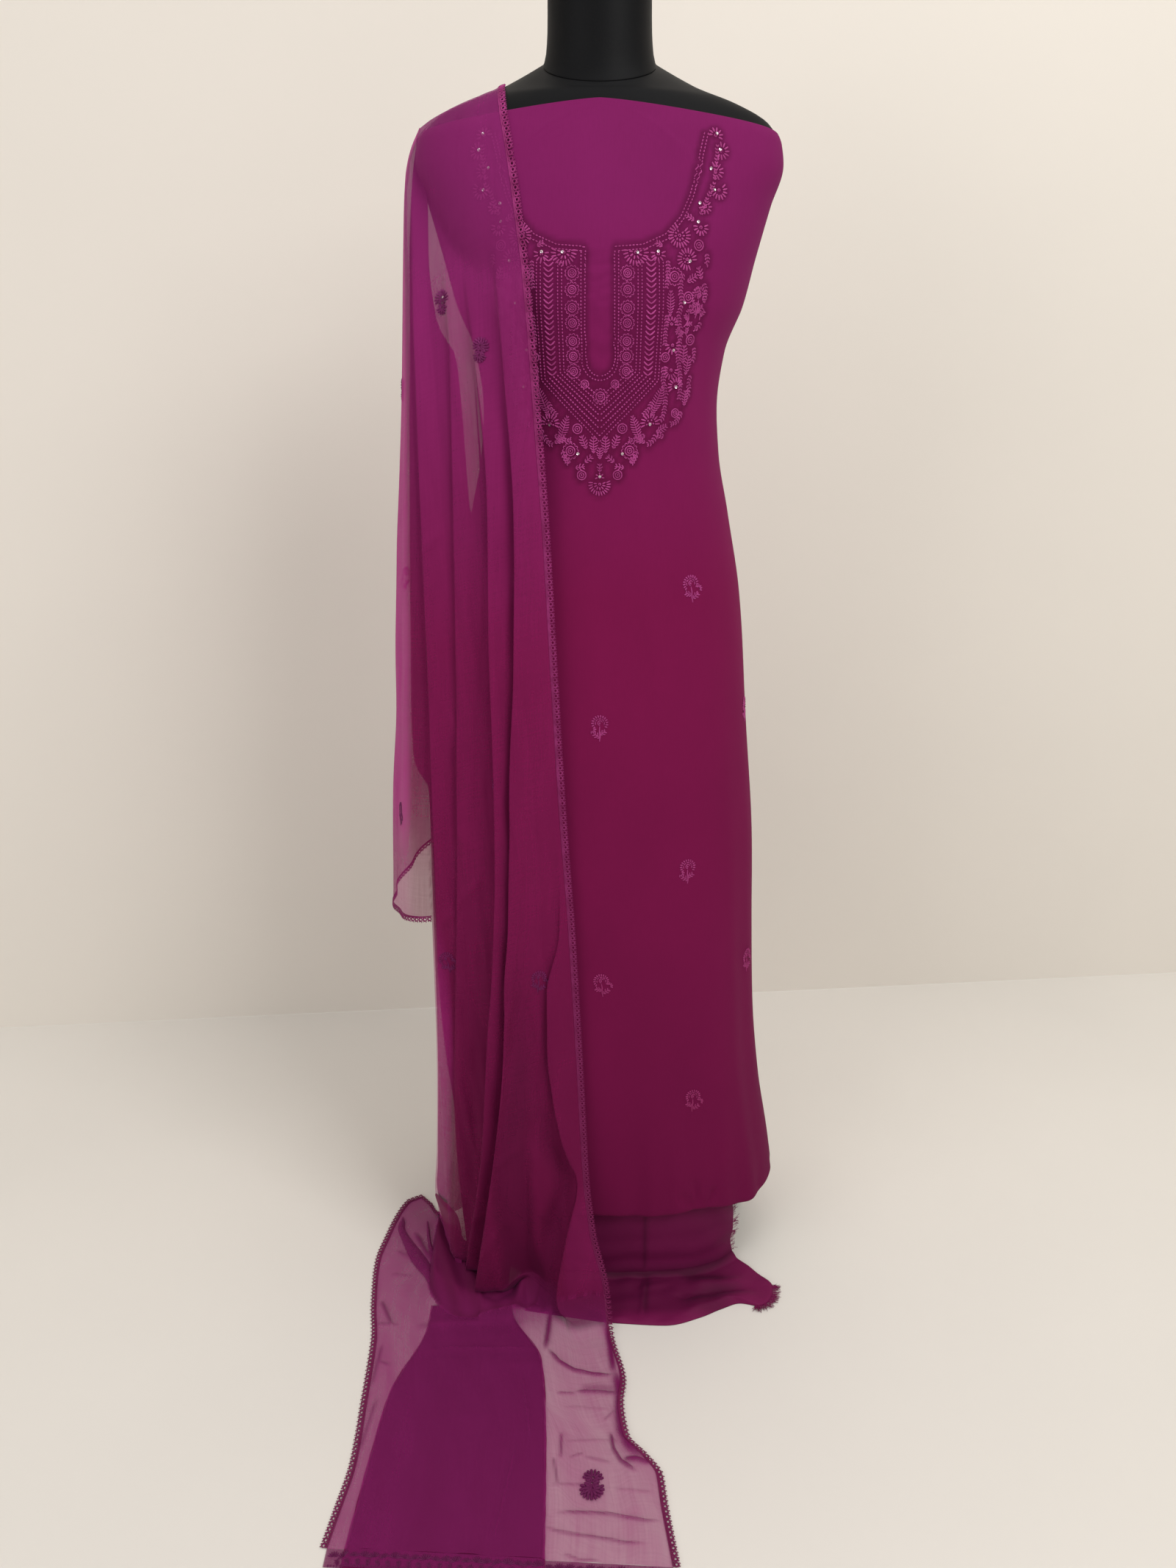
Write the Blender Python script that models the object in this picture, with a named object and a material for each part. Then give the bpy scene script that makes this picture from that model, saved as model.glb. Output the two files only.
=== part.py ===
"""Salwar kameez suit, unstitched, draped on a limbless dress form.

Metres, +Z up, front towards -Y. The origin is on the floor, on the axis of the form's
stand. Every cloth is a thin wall. Its sections are worked out from the short tables below,
and pieces that meet keep GAP between them.
"""

import math
from collections import namedtuple

import bmesh
import bpy
import numpy as np
from mathutils import Vector
from mathutils.bvhtree import BVHTree

# ---------------------------------------------------------------- driving sizes
GAP = 0.0003                # between pieces that touch
CLOTH = 0.0015              # wall of the kameez and salwar cloth
CHIFFON = 0.0010            # wall of the dupatta and its lace
OVER_CLOTH = 0.0015         # what a chiffon corner keeps from the cloth under it
RING = 44                   # points round one section

NECK_SLOPE = 0.44           # the neck seam drops towards the front
NECK_TOP = 1.545
CAP_HEIGHT = 0.014
POLE_RADIUS = 0.0125
BASE_RADIUS = 0.112
BASE_HEIGHT = 0.012
BASE_BEVEL = 0.003

FREE_TOP = 1.200            # below this the kameez hangs clear of the form
HEM_Z = 0.118               # where the hem begins to roll under
HEM_ROLL = 0.006            # radius of the roll
HEM_TURN = 0.012            # turned edge above the roll
LAP_RISE = 0.0022           # the outer end of the wrap stands off the inner end
LAP_COLUMNS = 2

SALWAR_FIRST = 15           # ring places between which the salwar cloth hangs
SALWAR_LAST = 55
POOL_LAST = 24              # the fold on the floor runs from the cut edge to here
POOL_HEIGHT = 0.0040
POOL_BACK_HEIGHT = 0.0090
PANEL_HEIGHT = 0.0024       # folded salwar cloth lying under the dupatta's end
PANEL_BACK = -0.200
PANEL_FRONT = -0.600
PANEL_MARGIN = 0.012

LACE_WIDTH = 0.0062
BORDER_WIDTH = 0.020
SHOULDER_TOP = 1.362        # below this the dupatta hangs free of the shoulder end
BACK_HEM = 0.550
RIDGE_CLEAR = 0.0025        # what both stretches keep from the ridge's plane below it
FOOT_ZONE = 0.110           # below this the front stretch turns towards its foot line

# ---------------------------------------------------------------- tables
# half widths to the right and to the left, depths, and how square the section is
Row = namedtuple("Row", "z right left front back square")

FORM_ROWS = (
    Row(0.780, 0.142, 0.142, 0.098, 0.105, 2.40),
    Row(0.850, 0.154, 0.154, 0.104, 0.112, 2.40),
    Row(0.950, 0.138, 0.138, 0.092, 0.102, 2.30),
    Row(1.060, 0.116, 0.116, 0.083, 0.087, 2.30),
    Row(1.140, 0.122, 0.122, 0.098, 0.092, 2.30),
    Row(1.200, 0.1525, 0.1525, 0.1220, 0.100, 2.30),
    Row(1.255, 0.1672, 0.1672, 0.1160, 0.102, 2.30),
    Row(1.305, 0.1812, 0.1812, 0.1010, 0.099, 2.25),
    Row(1.342, 0.1928, 0.1928, 0.0850, 0.090, 2.20),
    Row(1.361, 0.1903, 0.1903, 0.0760, 0.082, 2.20),
    Row(1.379, 0.1793, 0.1793, 0.0670, 0.073, 2.10),
    Row(1.397, 0.1480, 0.1480, 0.0600, 0.065, 2.00),
    Row(1.417, 0.1000, 0.1000, 0.0560, 0.059, 2.00),
    Row(1.436, 0.0575, 0.0575, 0.0540, 0.056, 2.00),
)

KAMEEZ_ROWS = (
    Row(0.118, 0.2345, 0.1880, 0.1650, 0.150, 3.60),
    Row(0.160, 0.2280, 0.1900, 0.1630, 0.149, 3.60),
    Row(0.246, 0.2140, 0.1940, 0.1570, 0.144, 3.40),
    Row(0.356, 0.2027, 0.1965, 0.1490, 0.138, 3.20),
    Row(0.481, 0.1962, 0.1950, 0.1420, 0.132, 3.00),
    Row(0.596, 0.1911, 0.1900, 0.1340, 0.127, 2.90),
    Row(0.767, 0.1767, 0.1767, 0.1220, 0.120, 2.70),
    Row(0.896, 0.1648, 0.1648, 0.1140, 0.112, 2.50),
    Row(0.987, 0.1481, 0.1481, 0.1080, 0.102, 2.35),
    Row(1.050, 0.1352, 0.1352, 0.1060, 0.096, 2.30),
    Row(1.104, 0.1311, 0.1311, 0.1110, 0.096, 2.30),
    Row(1.158, 0.1377, 0.1377, 0.1190, 0.098, 2.30),
    Row(1.200, 0.1543, 0.1543, 0.1238, 0.1018, 2.30),
)

SALWAR_ROWS = (
    Row(0.000, 0.2050, 0.1640, 0.1480, 0.130, 3.40),
    Row(0.110, 0.2030, 0.1640, 0.1460, 0.129, 3.30),
    Row(0.300, 0.1840, 0.1640, 0.1320, 0.122, 2.90),
    Row(0.500, 0.1680, 0.1600, 0.1180, 0.116, 2.60),
    Row(0.700, 0.1540, 0.1540, 0.1080, 0.112, 2.40),
    Row(0.770, 0.1470, 0.1470, 0.1020, 0.108, 2.40),
)

FORM_LEVELS = (1.436, 1.426, 1.412, 1.398)
CONTACT_LEVELS = (1.386, 1.378, 1.366, 1.348, 1.322, 1.290, 1.245, 1.200)
FORM_LOW_LEVELS = (1.150, 1.100, 1.050, 0.980, 0.910, 0.850, 0.800, 0.780)

# soft upright troughs of the hanging kameez: place round the ring from the centre back,
# width along the ring, depth at the hem, height where they fade out
Trough = namedtuple("Trough", "place width depth start")
KAMEEZ_TROUGHS = (
    Trough(0.065, 0.030, 0.0070, 1.00),
    Trough(0.130, 0.028, 0.0060, 0.90),
    Trough(0.205, 0.026, 0.0045, 0.80),
    Trough(0.330, 0.024, 0.0050, 0.95),
    Trough(0.400, 0.030, 0.0030, 0.70),
    Trough(0.480, 0.034, 0.0025, 0.60),
    Trough(0.700, 0.030, 0.0050, 0.85),
    Trough(0.790, 0.028, 0.0060, 0.90),
    Trough(0.865, 0.030, 0.0065, 0.95),
    Trough(0.935, 0.028, 0.0060, 1.00),
)

# the front stretch of the dupatta: lace edge, outer edge, and how late it bends between
Drape = namedtuple("Drape", "z lace_x lace_y outer_x outer_y bend")
FRONT_ROWS = (
    Drape(0.000, 0.006, 0.214, -0.224, 0.060, 2.2),
    Drape(0.040, -0.001, 0.206, -0.2235, 0.078, 2.2),
    Drape(0.110, -0.0125, 0.192, -0.2200, 0.105, 2.1),
    Drape(0.179, -0.0205, 0.180, -0.2130, 0.118, 2.0),
    Drape(0.344, -0.0285, 0.160, -0.2045, 0.125, 2.0),
    Drape(0.527, -0.0375, 0.150, -0.2020, 0.122, 2.0),
    Drape(0.648, -0.0455, 0.141, -0.2000, 0.119, 2.0),
    Drape(0.830, -0.0545, 0.133, -0.1950, 0.110, 1.8),
    Drape(0.964, -0.0605, 0.124, -0.1960, 0.098, 1.5),
    Drape(1.080, -0.0675, 0.121, -0.1980, 0.083, 1.2),
    Drape(1.202, -0.0745, 0.127, -0.2000, 0.058, 1.0),
    Drape(1.300, -0.0865, 0.060, -0.2030, 0.030, 1.0),
    Drape(1.345, -0.0930, 0.020, -0.1995, 0.013, 1.0),
    Drape(1.379, -0.0990, 0.000, -0.1890, 0.000, 1.0),
    Drape(1.417, -0.1050, 0.000, -0.1870, 0.000, 1.0),
)

BACK_ROWS = (
    Drape(0.550, -0.0700, 0.136, -0.2000, 0.112, 2.0),
    Drape(0.830, -0.0760, 0.124, -0.1950, 0.100, 1.8),
    Drape(1.080, -0.0820, 0.108, -0.1980, 0.078, 1.4),
    Drape(1.202, -0.0880, 0.106, -0.2000, 0.055, 1.0),
    Drape(1.300, -0.0950, 0.060, -0.2030, 0.030, 1.0),
    Drape(1.345, -0.0990, 0.020, -0.1995, 0.013, 1.0),
    Drape(1.379, -0.1020, 0.000, -0.1890, 0.000, 1.0),
    Drape(1.417, -0.1050, 0.000, -0.1870, 0.000, 1.0),
)

Ridge = namedtuple("Ridge", "x z")
RIDGE_ROWS = (
    Ridge(-0.190, 1.3790),
    Ridge(-0.1775, 1.3873),
    Ridge(-0.1585, 1.3965),
    Ridge(-0.1343, 1.4058),
    Ridge(-0.1168, 1.4128),
    Ridge(-0.101, 1.4173),
)

# folds of the front stretch: place across it at the top and at the floor (0 at the lace),
# width, how far the crest stands out, height where it begins
Fold = namedtuple("Fold", "top_place foot_place width depth start")
FRONT_FOLDS = (
    Fold(0.24, 0.17, 0.13, 0.009, 1.12),
    Fold(0.42, 0.40, 0.14, 0.013, 1.20),
    Fold(0.62, 0.56, 0.13, 0.012, 1.26),
    Fold(0.80, 0.74, 0.12, 0.014, 1.28),
)
BACK_FOLDS = (
    Fold(0.30, 0.28, 0.16, 0.009, 1.20),
    Fold(0.55, 0.52, 0.14, 0.011, 1.24),
    Fold(0.78, 0.76, 0.12, 0.009, 1.26),
)

Side = namedtuple("Side", "z reach")
SIDE_ROWS = (
    Side(0.500, 0.2685),
    Side(0.615, 0.2608),
    Side(0.690, 0.2540),
    Side(0.800, 0.2466),
    Side(0.937, 0.2369),
    Side(1.095, 0.2221),
    Side(1.270, 0.2110),
    Side(1.333, 0.2065),
    Side(1.350, 0.2030),
    Side(1.362, 0.1990),
)
SIDE_HEM = (0.5230, 0.5050, 0.5500)     # at the front, outermost and at the back

# where the front stretch meets the floor, from the lace edge to the outer edge
Foot = namedtuple("Foot", "x y height")
FOOT_KNOTS = (
    Foot(0.006, -0.214, POOL_HEIGHT + GAP),
    Foot(-0.028, -0.213, POOL_HEIGHT + GAP),
    Foot(-0.060, -0.205, POOL_HEIGHT + GAP),
    Foot(-0.092, -0.190, POOL_HEIGHT),
    Foot(-0.122, -0.178, 0.0),
    Foot(-0.150, -0.167, 0.0),
    Foot(-0.172, -0.156, 0.0),
    Foot(-0.192, -0.142, 0.0),
    Foot(-0.224, -0.060, 0.0),
)
COLUMNS_PER_KNOT = 3

# edges of the dupatta and of the folded panel on the floor, by distance to the front
Edge = namedtuple("Edge", "y x")
FLOOR_LEFT = (
    Edge(-0.530, -0.2810), Edge(-0.485, -0.2755), Edge(-0.430, -0.2700), Edge(-0.348, -0.2735),
    Edge(-0.260, -0.2785), Edge(-0.200, -0.2895), Edge(-0.118, -0.2980), Edge(-0.080, -0.2935),
    Edge(-0.033, -0.2855), Edge(0.000, -0.2740), Edge(0.012, -0.2600),
)
FLOOR_RIGHT = (
    Edge(-0.550, 0.0745), Edge(-0.478, 0.0655), Edge(-0.444, 0.0625), Edge(-0.420, 0.0480),
    Edge(-0.394, 0.0270), Edge(-0.348, 0.0215), Edge(-0.316, 0.0250), Edge(-0.251, 0.0110),
    Edge(-0.214, 0.0060),
)
PANEL_LEFT = (
    Edge(-0.600, -0.2640), Edge(-0.439, -0.2560), Edge(-0.341, -0.2480), Edge(-0.229, -0.2157),
    Edge(-0.200, -0.2056),
)
PANEL_RIGHT = (
    Edge(-0.600, -0.0560), Edge(-0.439, -0.0608), Edge(-0.341, -0.0659), Edge(-0.287, -0.0729),
    Edge(-0.217, -0.1185), Edge(-0.200, -0.1250),
)
POOL_FRONT = (
    Edge(-0.1647, 0.2282), Edge(-0.1800, 0.2262), Edge(-0.1942, 0.2184), Edge(-0.2005, 0.2050),
    Edge(-0.1960, 0.1820), Edge(-0.2060, 0.1560), Edge(-0.2200, 0.1280), Edge(-0.2330, 0.0830),
    Edge(-0.2290, 0.0200), Edge(-0.2235, -0.0780),
)

COLOURS = {
    # name: (colour, roughness, metallic)
    "form": ((0.012, 0.013, 0.015), 0.55, 0.0),
    "stand": ((0.020, 0.020, 0.022), 0.40, 0.8),
    "kameez": ((0.190, 0.013, 0.095), 0.85, 0.0),
    "salwar": ((0.120, 0.008, 0.060), 0.60, 0.0),
    "dupatta": ((0.210, 0.016, 0.120), 0.80, 0.0),
    "lace": ((0.170, 0.014, 0.110), 0.85, 0.0),
}


# ---------------------------------------------------------------- curves and sections
def smooth(low, high, value):
    """0 below low, 1 above high, and an S curve between."""
    t = np.clip((np.asarray(value, float) - low) / (high - low), 0.0, 1.0)
    return t * t * (3.0 - 2.0 * t)


def curve(xs, ys, at):
    """A smooth curve through the points (xs, ys) that never overshoots them."""
    xs = np.asarray(xs, float)
    ys = np.asarray(ys, float)
    order = np.argsort(xs)
    xs, ys = xs[order], ys[order]
    at = np.clip(np.asarray(at, float), xs[0], xs[-1])
    step = np.diff(xs)
    slope = np.diff(ys) / step
    tangent = np.zeros(len(xs))
    tangent[0], tangent[-1] = slope[0], slope[-1]
    same = slope[:-1] * slope[1:] > 0.0
    tangent[1:-1][same] = 2.0 / (1.0 / slope[:-1][same] + 1.0 / slope[1:][same])
    i = np.clip(np.searchsorted(xs, at, side="right") - 1, 0, len(xs) - 2)
    t = (at - xs[i]) / step[i]
    start = (1 + 2 * t) * (1 - t) ** 2 * ys[i] + t * t * (3 - 2 * t) * ys[i + 1]
    turn = t * (1 - t) ** 2 * tangent[i] - t * t * (1 - t) * tangent[i + 1]
    return start + turn * step[i]


def column(rows, name, at, key="z"):
    """One named column of a table, read at the key's value."""
    return curve([getattr(r, key) for r in rows], [getattr(r, name) for r in rows], at)


def section(rows, z, places):
    """Points of one rounded section at ring places 0..1, from the centre back by the right."""
    right = column(rows, "right", z)
    left = column(rows, "left", z)
    front = column(rows, "front", z)
    back = column(rows, "back", z)
    power = 2.0 / column(rows, "square", z)
    angle = np.linspace(0.0, 2.0 * math.pi, 1441)
    sine, cosine = np.sin(angle), np.cos(angle)
    half = np.where(sine > 0.0, right, left)
    depth = np.where(cosine > 0.0, back, front)
    x = half * np.sign(sine) * np.abs(sine) ** power
    y = depth * np.sign(cosine) * np.abs(cosine) ** power
    walk = np.concatenate([[0.0], np.cumsum(np.hypot(np.diff(x), np.diff(y)))])
    middle = walk[len(walk) // 2]
    walk = np.where(walk < middle, walk / middle, 1.0 + (walk - middle) / (walk[-1] - middle)) / 2.0
    wrapped = np.mod(np.asarray(places, float), 1.0)
    return np.stack([np.interp(wrapped, walk, x), np.interp(wrapped, walk, y)], axis=-1)


def body_grid(rows, levels, places):
    """The form's surface as a grid, level by level."""
    grid = np.zeros((len(levels), len(places), 3))
    for i, level in enumerate(levels):
        flat = section(rows, level, places)
        front = column(rows, "front", level)
        back = column(rows, "back", level)
        rise = curve([1.30, 1.386, 1.436], [0.0, 0.009, -NECK_SLOPE * front], level)
        back_rise = curve([1.386, 1.436], [0.0, NECK_SLOPE * back], level)
        share = np.where(flat[:, 1] < 0.0, -flat[:, 1] / front * rise, flat[:, 1] / back * back_rise)
        grid[i, :, :2] = flat
        grid[i, :, 2] = level + share
    return grid


def normals(grid, loop=False):
    """Unit normals of a grid: columns run back, right, front, left; rows run down."""
    if loop:
        across = np.roll(grid, -1, axis=1) - np.roll(grid, 1, axis=1)
    else:
        across = np.gradient(grid, axis=1)
    down = np.gradient(grid, axis=0)
    normal = np.cross(across, down)
    return normal / np.maximum(np.linalg.norm(normal, axis=-1, keepdims=True), 1e-12)


# ---------------------------------------------------------------- building solids
def material(name):
    made = bpy.data.materials.get(name)
    if made:
        return made
    colour, roughness, metallic = COLOURS[name]
    made = bpy.data.materials.new(name)
    made.use_nodes = True
    shader = made.node_tree.nodes["Principled BSDF"]
    shader.inputs["Base Color"].default_value = (*colour, 1.0)
    shader.inputs["Roughness"].default_value = roughness
    shader.inputs["Metallic"].default_value = metallic
    return made


def solid(name, vertices, faces, look):
    """An object from points and faces, its faces turned outwards."""
    mesh = bpy.data.meshes.new(name)
    mesh.from_pydata([tuple(float(c) for c in v) for v in vertices], [], faces)
    work = bmesh.new()
    work.from_mesh(mesh)
    bmesh.ops.recalc_face_normals(work, faces=work.faces)
    work.to_mesh(mesh)
    work.free()
    mesh.shade_smooth()
    mesh.set_sharp_from_angle(angle=math.radians(50))
    made = bpy.data.objects.new(name, mesh)
    made.data.materials.append(material(look))
    bpy.context.scene.collection.objects.link(made)
    return made


def wall(name, outer, inner, look, loop=False):
    """A closed wall between two grids of the same shape."""
    rows, columns = outer.shape[:2]
    shift = rows * columns
    faces = []

    def index(i, j):
        return i * columns + j % columns

    spans = columns if loop else columns - 1
    for i in range(rows - 1):
        for j in range(spans):
            a, b = index(i, j), index(i, j + 1)
            c, d = index(i + 1, j + 1), index(i + 1, j)
            faces += [(a, b, c), (a, c, d)]
            faces += [(a + shift, c + shift, b + shift), (a + shift, d + shift, c + shift)]
    for j in range(spans):
        for i in (0, rows - 1):
            a, b = index(i, j), index(i, j + 1)
            faces.append((a, b, b + shift, a + shift))
    if not loop:
        for i in range(rows - 1):
            for j in (0, columns - 1):
                a, b = index(i, j), index(i + 1, j)
                faces.append((a, b, b + shift, a + shift))
    points = np.concatenate([outer.reshape(-1, 3), inner.reshape(-1, 3)])
    return solid(name, points, faces, look)


def turned(name, profile, look, sides=40):
    """A solid of revolution about the stand's axis from (radius, z) pairs, top to bottom."""
    points = []
    faces = []
    for radius, z in profile:
        for k in range(sides):
            angle = 2.0 * math.pi * k / sides
            points.append((radius * math.cos(angle), radius * math.sin(angle), z))
    for i in range(len(profile) - 1):
        for k in range(sides):
            a, b = i * sides + k, i * sides + (k + 1) % sides
            faces.append((a, b, b + sides, a + sides))
    faces.append(tuple(range(sides)))
    faces.append(tuple(range((len(profile) - 1) * sides, len(profile) * sides)))
    return solid(name, points, faces, look)


def envelope_tree(form_grid, kameez_grid):
    """A search tree of what the dupatta lies on: the kameez, and the bare form above it."""
    bare = len(FORM_LEVELS)
    upper = form_grid[:bare] + normals(form_grid, loop=True)[:bare] * (GAP + CLOTH)
    hung = kameez_grid[:, :RING].copy()
    hung[:, :LAP_COLUMNS + 1] = kameez_grid[:, RING:]
    grid = np.concatenate([upper, hung])
    rows = len(grid)
    faces = []
    for i in range(rows - 1):
        for j in range(RING):
            a, b = i * RING + j, i * RING + (j + 1) % RING
            faces += [(a, b, b + RING), (a, b + RING, a + RING)]
    faces.append(tuple(reversed(range(RING))))
    points = [Vector(p) for p in grid.reshape(-1, 3)]
    tree = BVHTree.FromPolygons(points, faces)
    probe = Vector((0.0, -1.0, 1.2))
    near, normal, _, _ = tree.find_nearest(probe)
    turn = 1.0 if (probe - near).dot(normal) > 0.0 else -1.0
    return tree, turn


def pushed_out(grid, envelope, clearance=OVER_CLOTH, between=OVER_CLOTH * 0.85):
    """Move a grid's points off the envelope until they, and its cells, keep clear of it."""
    tree, turn = envelope
    moved = grid.copy()

    def shortage(point, wanted):
        near, normal, _, _ = tree.find_nearest(Vector(point))
        normal = np.array(normal) * turn
        depth = float(np.dot(point - np.array(near), normal))
        return np.maximum(0.0, wanted - depth) * normal

    rows, columns = moved.shape[:2]
    for _ in range(5):
        for index in np.ndindex(rows, columns):
            moved[index] += shortage(moved[index], clearance)
        for i in range(rows):
            for j in range(columns):
                for down, right in ((0, 1), (1, 0), (1, 1), (1, -1)):
                    if i + down < rows and 0 <= j + right < columns:
                        ends = ((i, j), (i + down, j + right))
                        middle = (moved[ends[0]] + moved[ends[1]]) / 2.0
                        push = shortage(middle, between)
                        moved[ends[0]] += push
                        moved[ends[1]] += push
    return moved


# ---------------------------------------------------------------- dress form and stand
def build_form():
    places = np.arange(RING) / RING
    levels = FORM_LEVELS + CONTACT_LEVELS + FORM_LOW_LEVELS
    grid = body_grid(FORM_ROWS, levels, places)
    rows = len(levels)
    faces = []
    for i in range(rows - 1):
        for j in range(RING):
            a, b = i * RING + j, i * RING + (j + 1) % RING
            faces += [(a, b, b + RING), (a, b + RING, a + RING)]
    faces.append(tuple(range(RING)))
    faces.append(tuple(range((rows - 1) * RING, rows * RING)))
    solid("form_bust", grid.reshape(-1, 3), faces, "form")

    seam = grid[0]
    seam_z = FORM_LEVELS[0]
    steps = ((0.0, 1.0), (0.10, 0.955), (0.28, 0.925), (0.55, 0.915), (1.0, 0.905))
    points = []
    for share, scale in steps:
        ring = seam * np.array([scale, scale, 1.0])
        ring[:, 2] = (1.0 - share) * (seam[:, 2] + GAP) + share * NECK_TOP
        points.append(ring)
    neck_points = np.concatenate(points)
    faces = [tuple(range(RING)), tuple(range((len(steps) - 1) * RING, len(steps) * RING))]
    for i in range(len(steps) - 1):
        for j in range(RING):
            a, b = i * RING + j, i * RING + (j + 1) % RING
            faces.append((a, b, b + RING, a + RING))
    solid("form_neck", neck_points, faces, "form")

    top_scale = steps[-1][1]
    wide = column(FORM_ROWS, "right", seam_z) * top_scale
    low = NECK_TOP + GAP
    cap = [(wide * 0.90, low + CAP_HEIGHT), (wide * 0.98, low + CAP_HEIGHT * 0.75),
           (wide, low + CAP_HEIGHT * 0.4), (wide, low)]
    turned("neck_cap", cap, "form", sides=RING)
    return grid


def build_stand():
    foot = BASE_HEIGHT
    base = [(POLE_RADIUS * 2.0, foot), (BASE_RADIUS - BASE_BEVEL, foot),
            (BASE_RADIUS, foot - BASE_BEVEL), (BASE_RADIUS, 0.0)]
    turned("stand_base", base, "stand")
    pole = [(POLE_RADIUS, FORM_LOW_LEVELS[-1] - GAP), (POLE_RADIUS, foot + GAP)]
    turned("stand_pole", pole, "stand", sides=24)


# ---------------------------------------------------------------- kameez
def kameez_levels():
    free = np.linspace(FREE_TOP, HEM_Z, 15)[1:]
    return CONTACT_LEVELS + tuple(free)


def build_kameez(form_grid):
    """One wrapped wall, lapped at the centre back, its hem rolled under."""
    places = np.arange(RING + LAP_COLUMNS + 1) / RING
    levels = kameez_levels()
    contact = len(CONTACT_LEVELS)
    first = len(FORM_LEVELS)
    wrap = np.arange(len(places)) % RING
    touching = form_grid[first:first + contact][:, wrap]
    lean = normals(form_grid, loop=True)[first:first + contact][:, wrap]

    grid = np.zeros((len(levels), len(places), 3))
    grid[:contact] = touching + lean * (GAP + CLOTH)
    for i in range(contact, len(levels)):
        grid[i, :, :2] = section(KAMEEZ_ROWS, levels[i], places)
        grid[i, :, 2] = levels[i]
    level = grid[..., 2]
    around = np.broadcast_to(np.mod(places, 1.0), level.shape)
    sink = np.zeros_like(level)
    for trough in KAMEEZ_TROUGHS:
        away = np.abs(around - trough.place) / trough.width
        shape = np.cos(np.clip(away, 0.0, 1.0) * math.pi / 2.0) ** 2
        sink += trough.depth * shape * smooth(0.0, 1.0, (trough.start - level) / trough.start)
    out = normals(grid)
    flat_out = out * np.array([1.0, 1.0, 0.0])
    flat_out /= np.linalg.norm(flat_out, axis=-1, keepdims=True)
    grid -= flat_out * sink[..., None]

    lift = np.zeros(len(places))
    lift[RING - 1] = LAP_RISE * 0.55
    lift[RING:] = LAP_RISE
    grid += out * lift[None, :, None]
    inner = grid - normals(grid) * CLOTH
    inner[:contact] = touching + lean * (GAP + lift[None, :, None])

    edge = grid[-1]
    inwards = -flat_out[-1]
    turn_out = [grid]
    turn_in = [inner]
    inner[-1] = edge + inwards * CLOTH
    for degrees in (60, 120, 180):
        angle = math.radians(degrees)
        for radius, rows in ((HEM_ROLL, turn_out), (HEM_ROLL - CLOTH, turn_in)):
            point = edge + inwards * (HEM_ROLL - radius * math.cos(angle))
            point = point - np.array([0.0, 0.0, radius * math.sin(angle)])
            rows.append(point[None])
    for rows in (turn_out, turn_in):
        rows.append(rows[-1] + np.array([0.0, 0.0, HEM_TURN]))
    wall("kameez_cloth", np.concatenate(turn_out), np.concatenate(turn_in), "kameez")
    return grid


# ---------------------------------------------------------------- salwar cloth
def build_salwar(form_grid):
    """A cloth hung round the hips inside the kameez, open between its two cut edges."""
    ring = np.arange(SALWAR_FIRST, SALWAR_LAST + 1)
    low = form_grid[-2:][:, ring % RING]
    lean = normals(form_grid, loop=True)[-2:][:, ring % RING]
    levels = np.concatenate([np.linspace(0.70, 0.06, 6), [0.0]])
    grid = np.zeros((len(levels) + 2, len(ring), 3))
    grid[:2] = low + lean * (GAP + CLOTH)
    for i, level in enumerate(levels):
        grid[i + 2, :, :2] = section(SALWAR_ROWS, level, ring / RING)
        grid[i + 2, :, 2] = level
    flat = normals(grid) * np.array([1.0, 1.0, 0.0])
    flat /= np.linalg.norm(flat, axis=-1, keepdims=True)
    inner = grid - flat * CLOTH
    inner[:2] = low + lean * GAP
    wall("salwar_cloth", grid, inner, "salwar")
    return grid, flat


def build_pool(foot, outwards):
    """The salwar cloth's fold that lies forward on the floor, from its cut edge leftwards."""
    count = POOL_LAST - SALWAR_FIRST + 1
    back = foot[:count] + outwards[:count] * GAP
    share = np.linspace(0.0, 1.0, count)
    walk = np.linspace(0.0, 1.0, len(POOL_FRONT))
    front = np.stack([curve(walk, [p.x for p in POOL_FRONT], share),
                      curve(walk, [p.y for p in POOL_FRONT], share)], axis=-1)
    steps = ((0.0, 1.0), (0.12, 0.62), (0.30, 0.0), (0.62, 0.0), (0.86, 0.0), (0.97, -0.12),
             (1.0, -0.45))
    top = np.zeros((len(steps), count, 3))
    for i, (across, rise) in enumerate(steps):
        top[i, :, :2] = back[:, :2] * (1.0 - across) + front * across
        extra = POOL_BACK_HEIGHT - POOL_HEIGHT if rise > 0.0 else POOL_HEIGHT
        top[i, :, 2] = POOL_HEIGHT + rise * extra
    bottom = top.copy()
    bottom[..., 2] = 0.0
    wall("salwar_floor_fold", top, bottom, "salwar")
    return front


def build_panel():
    """Salwar cloth folded flat on the floor, its layers in one rounded slab."""
    ys = np.array([PANEL_BACK, -0.203, -0.217, -0.250, -0.287, -0.341, -0.390, -0.439, -0.520,
                   PANEL_FRONT + 0.004, PANEL_FRONT])
    left = column(PANEL_LEFT, "x", ys, key="y")
    right = column(PANEL_RIGHT, "x", ys, key="y")
    across = np.array([0.0, 0.015, 0.35, 0.70, 0.985, 1.0])
    top = np.zeros((len(ys), len(across), 3))
    for j, share in enumerate(across):
        top[:, j, 0] = right * (1.0 - share) + left * share
        top[:, j, 1] = ys
    top[..., 2] = PANEL_HEIGHT
    top[:, (0, -1), 2] = PANEL_HEIGHT * 0.45
    top[(0, -1), :, 2] = PANEL_HEIGHT * 0.45
    bottom = top.copy()
    bottom[..., 2] = 0.0
    wall("salwar_folded_panel", top, bottom, "salwar")


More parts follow.
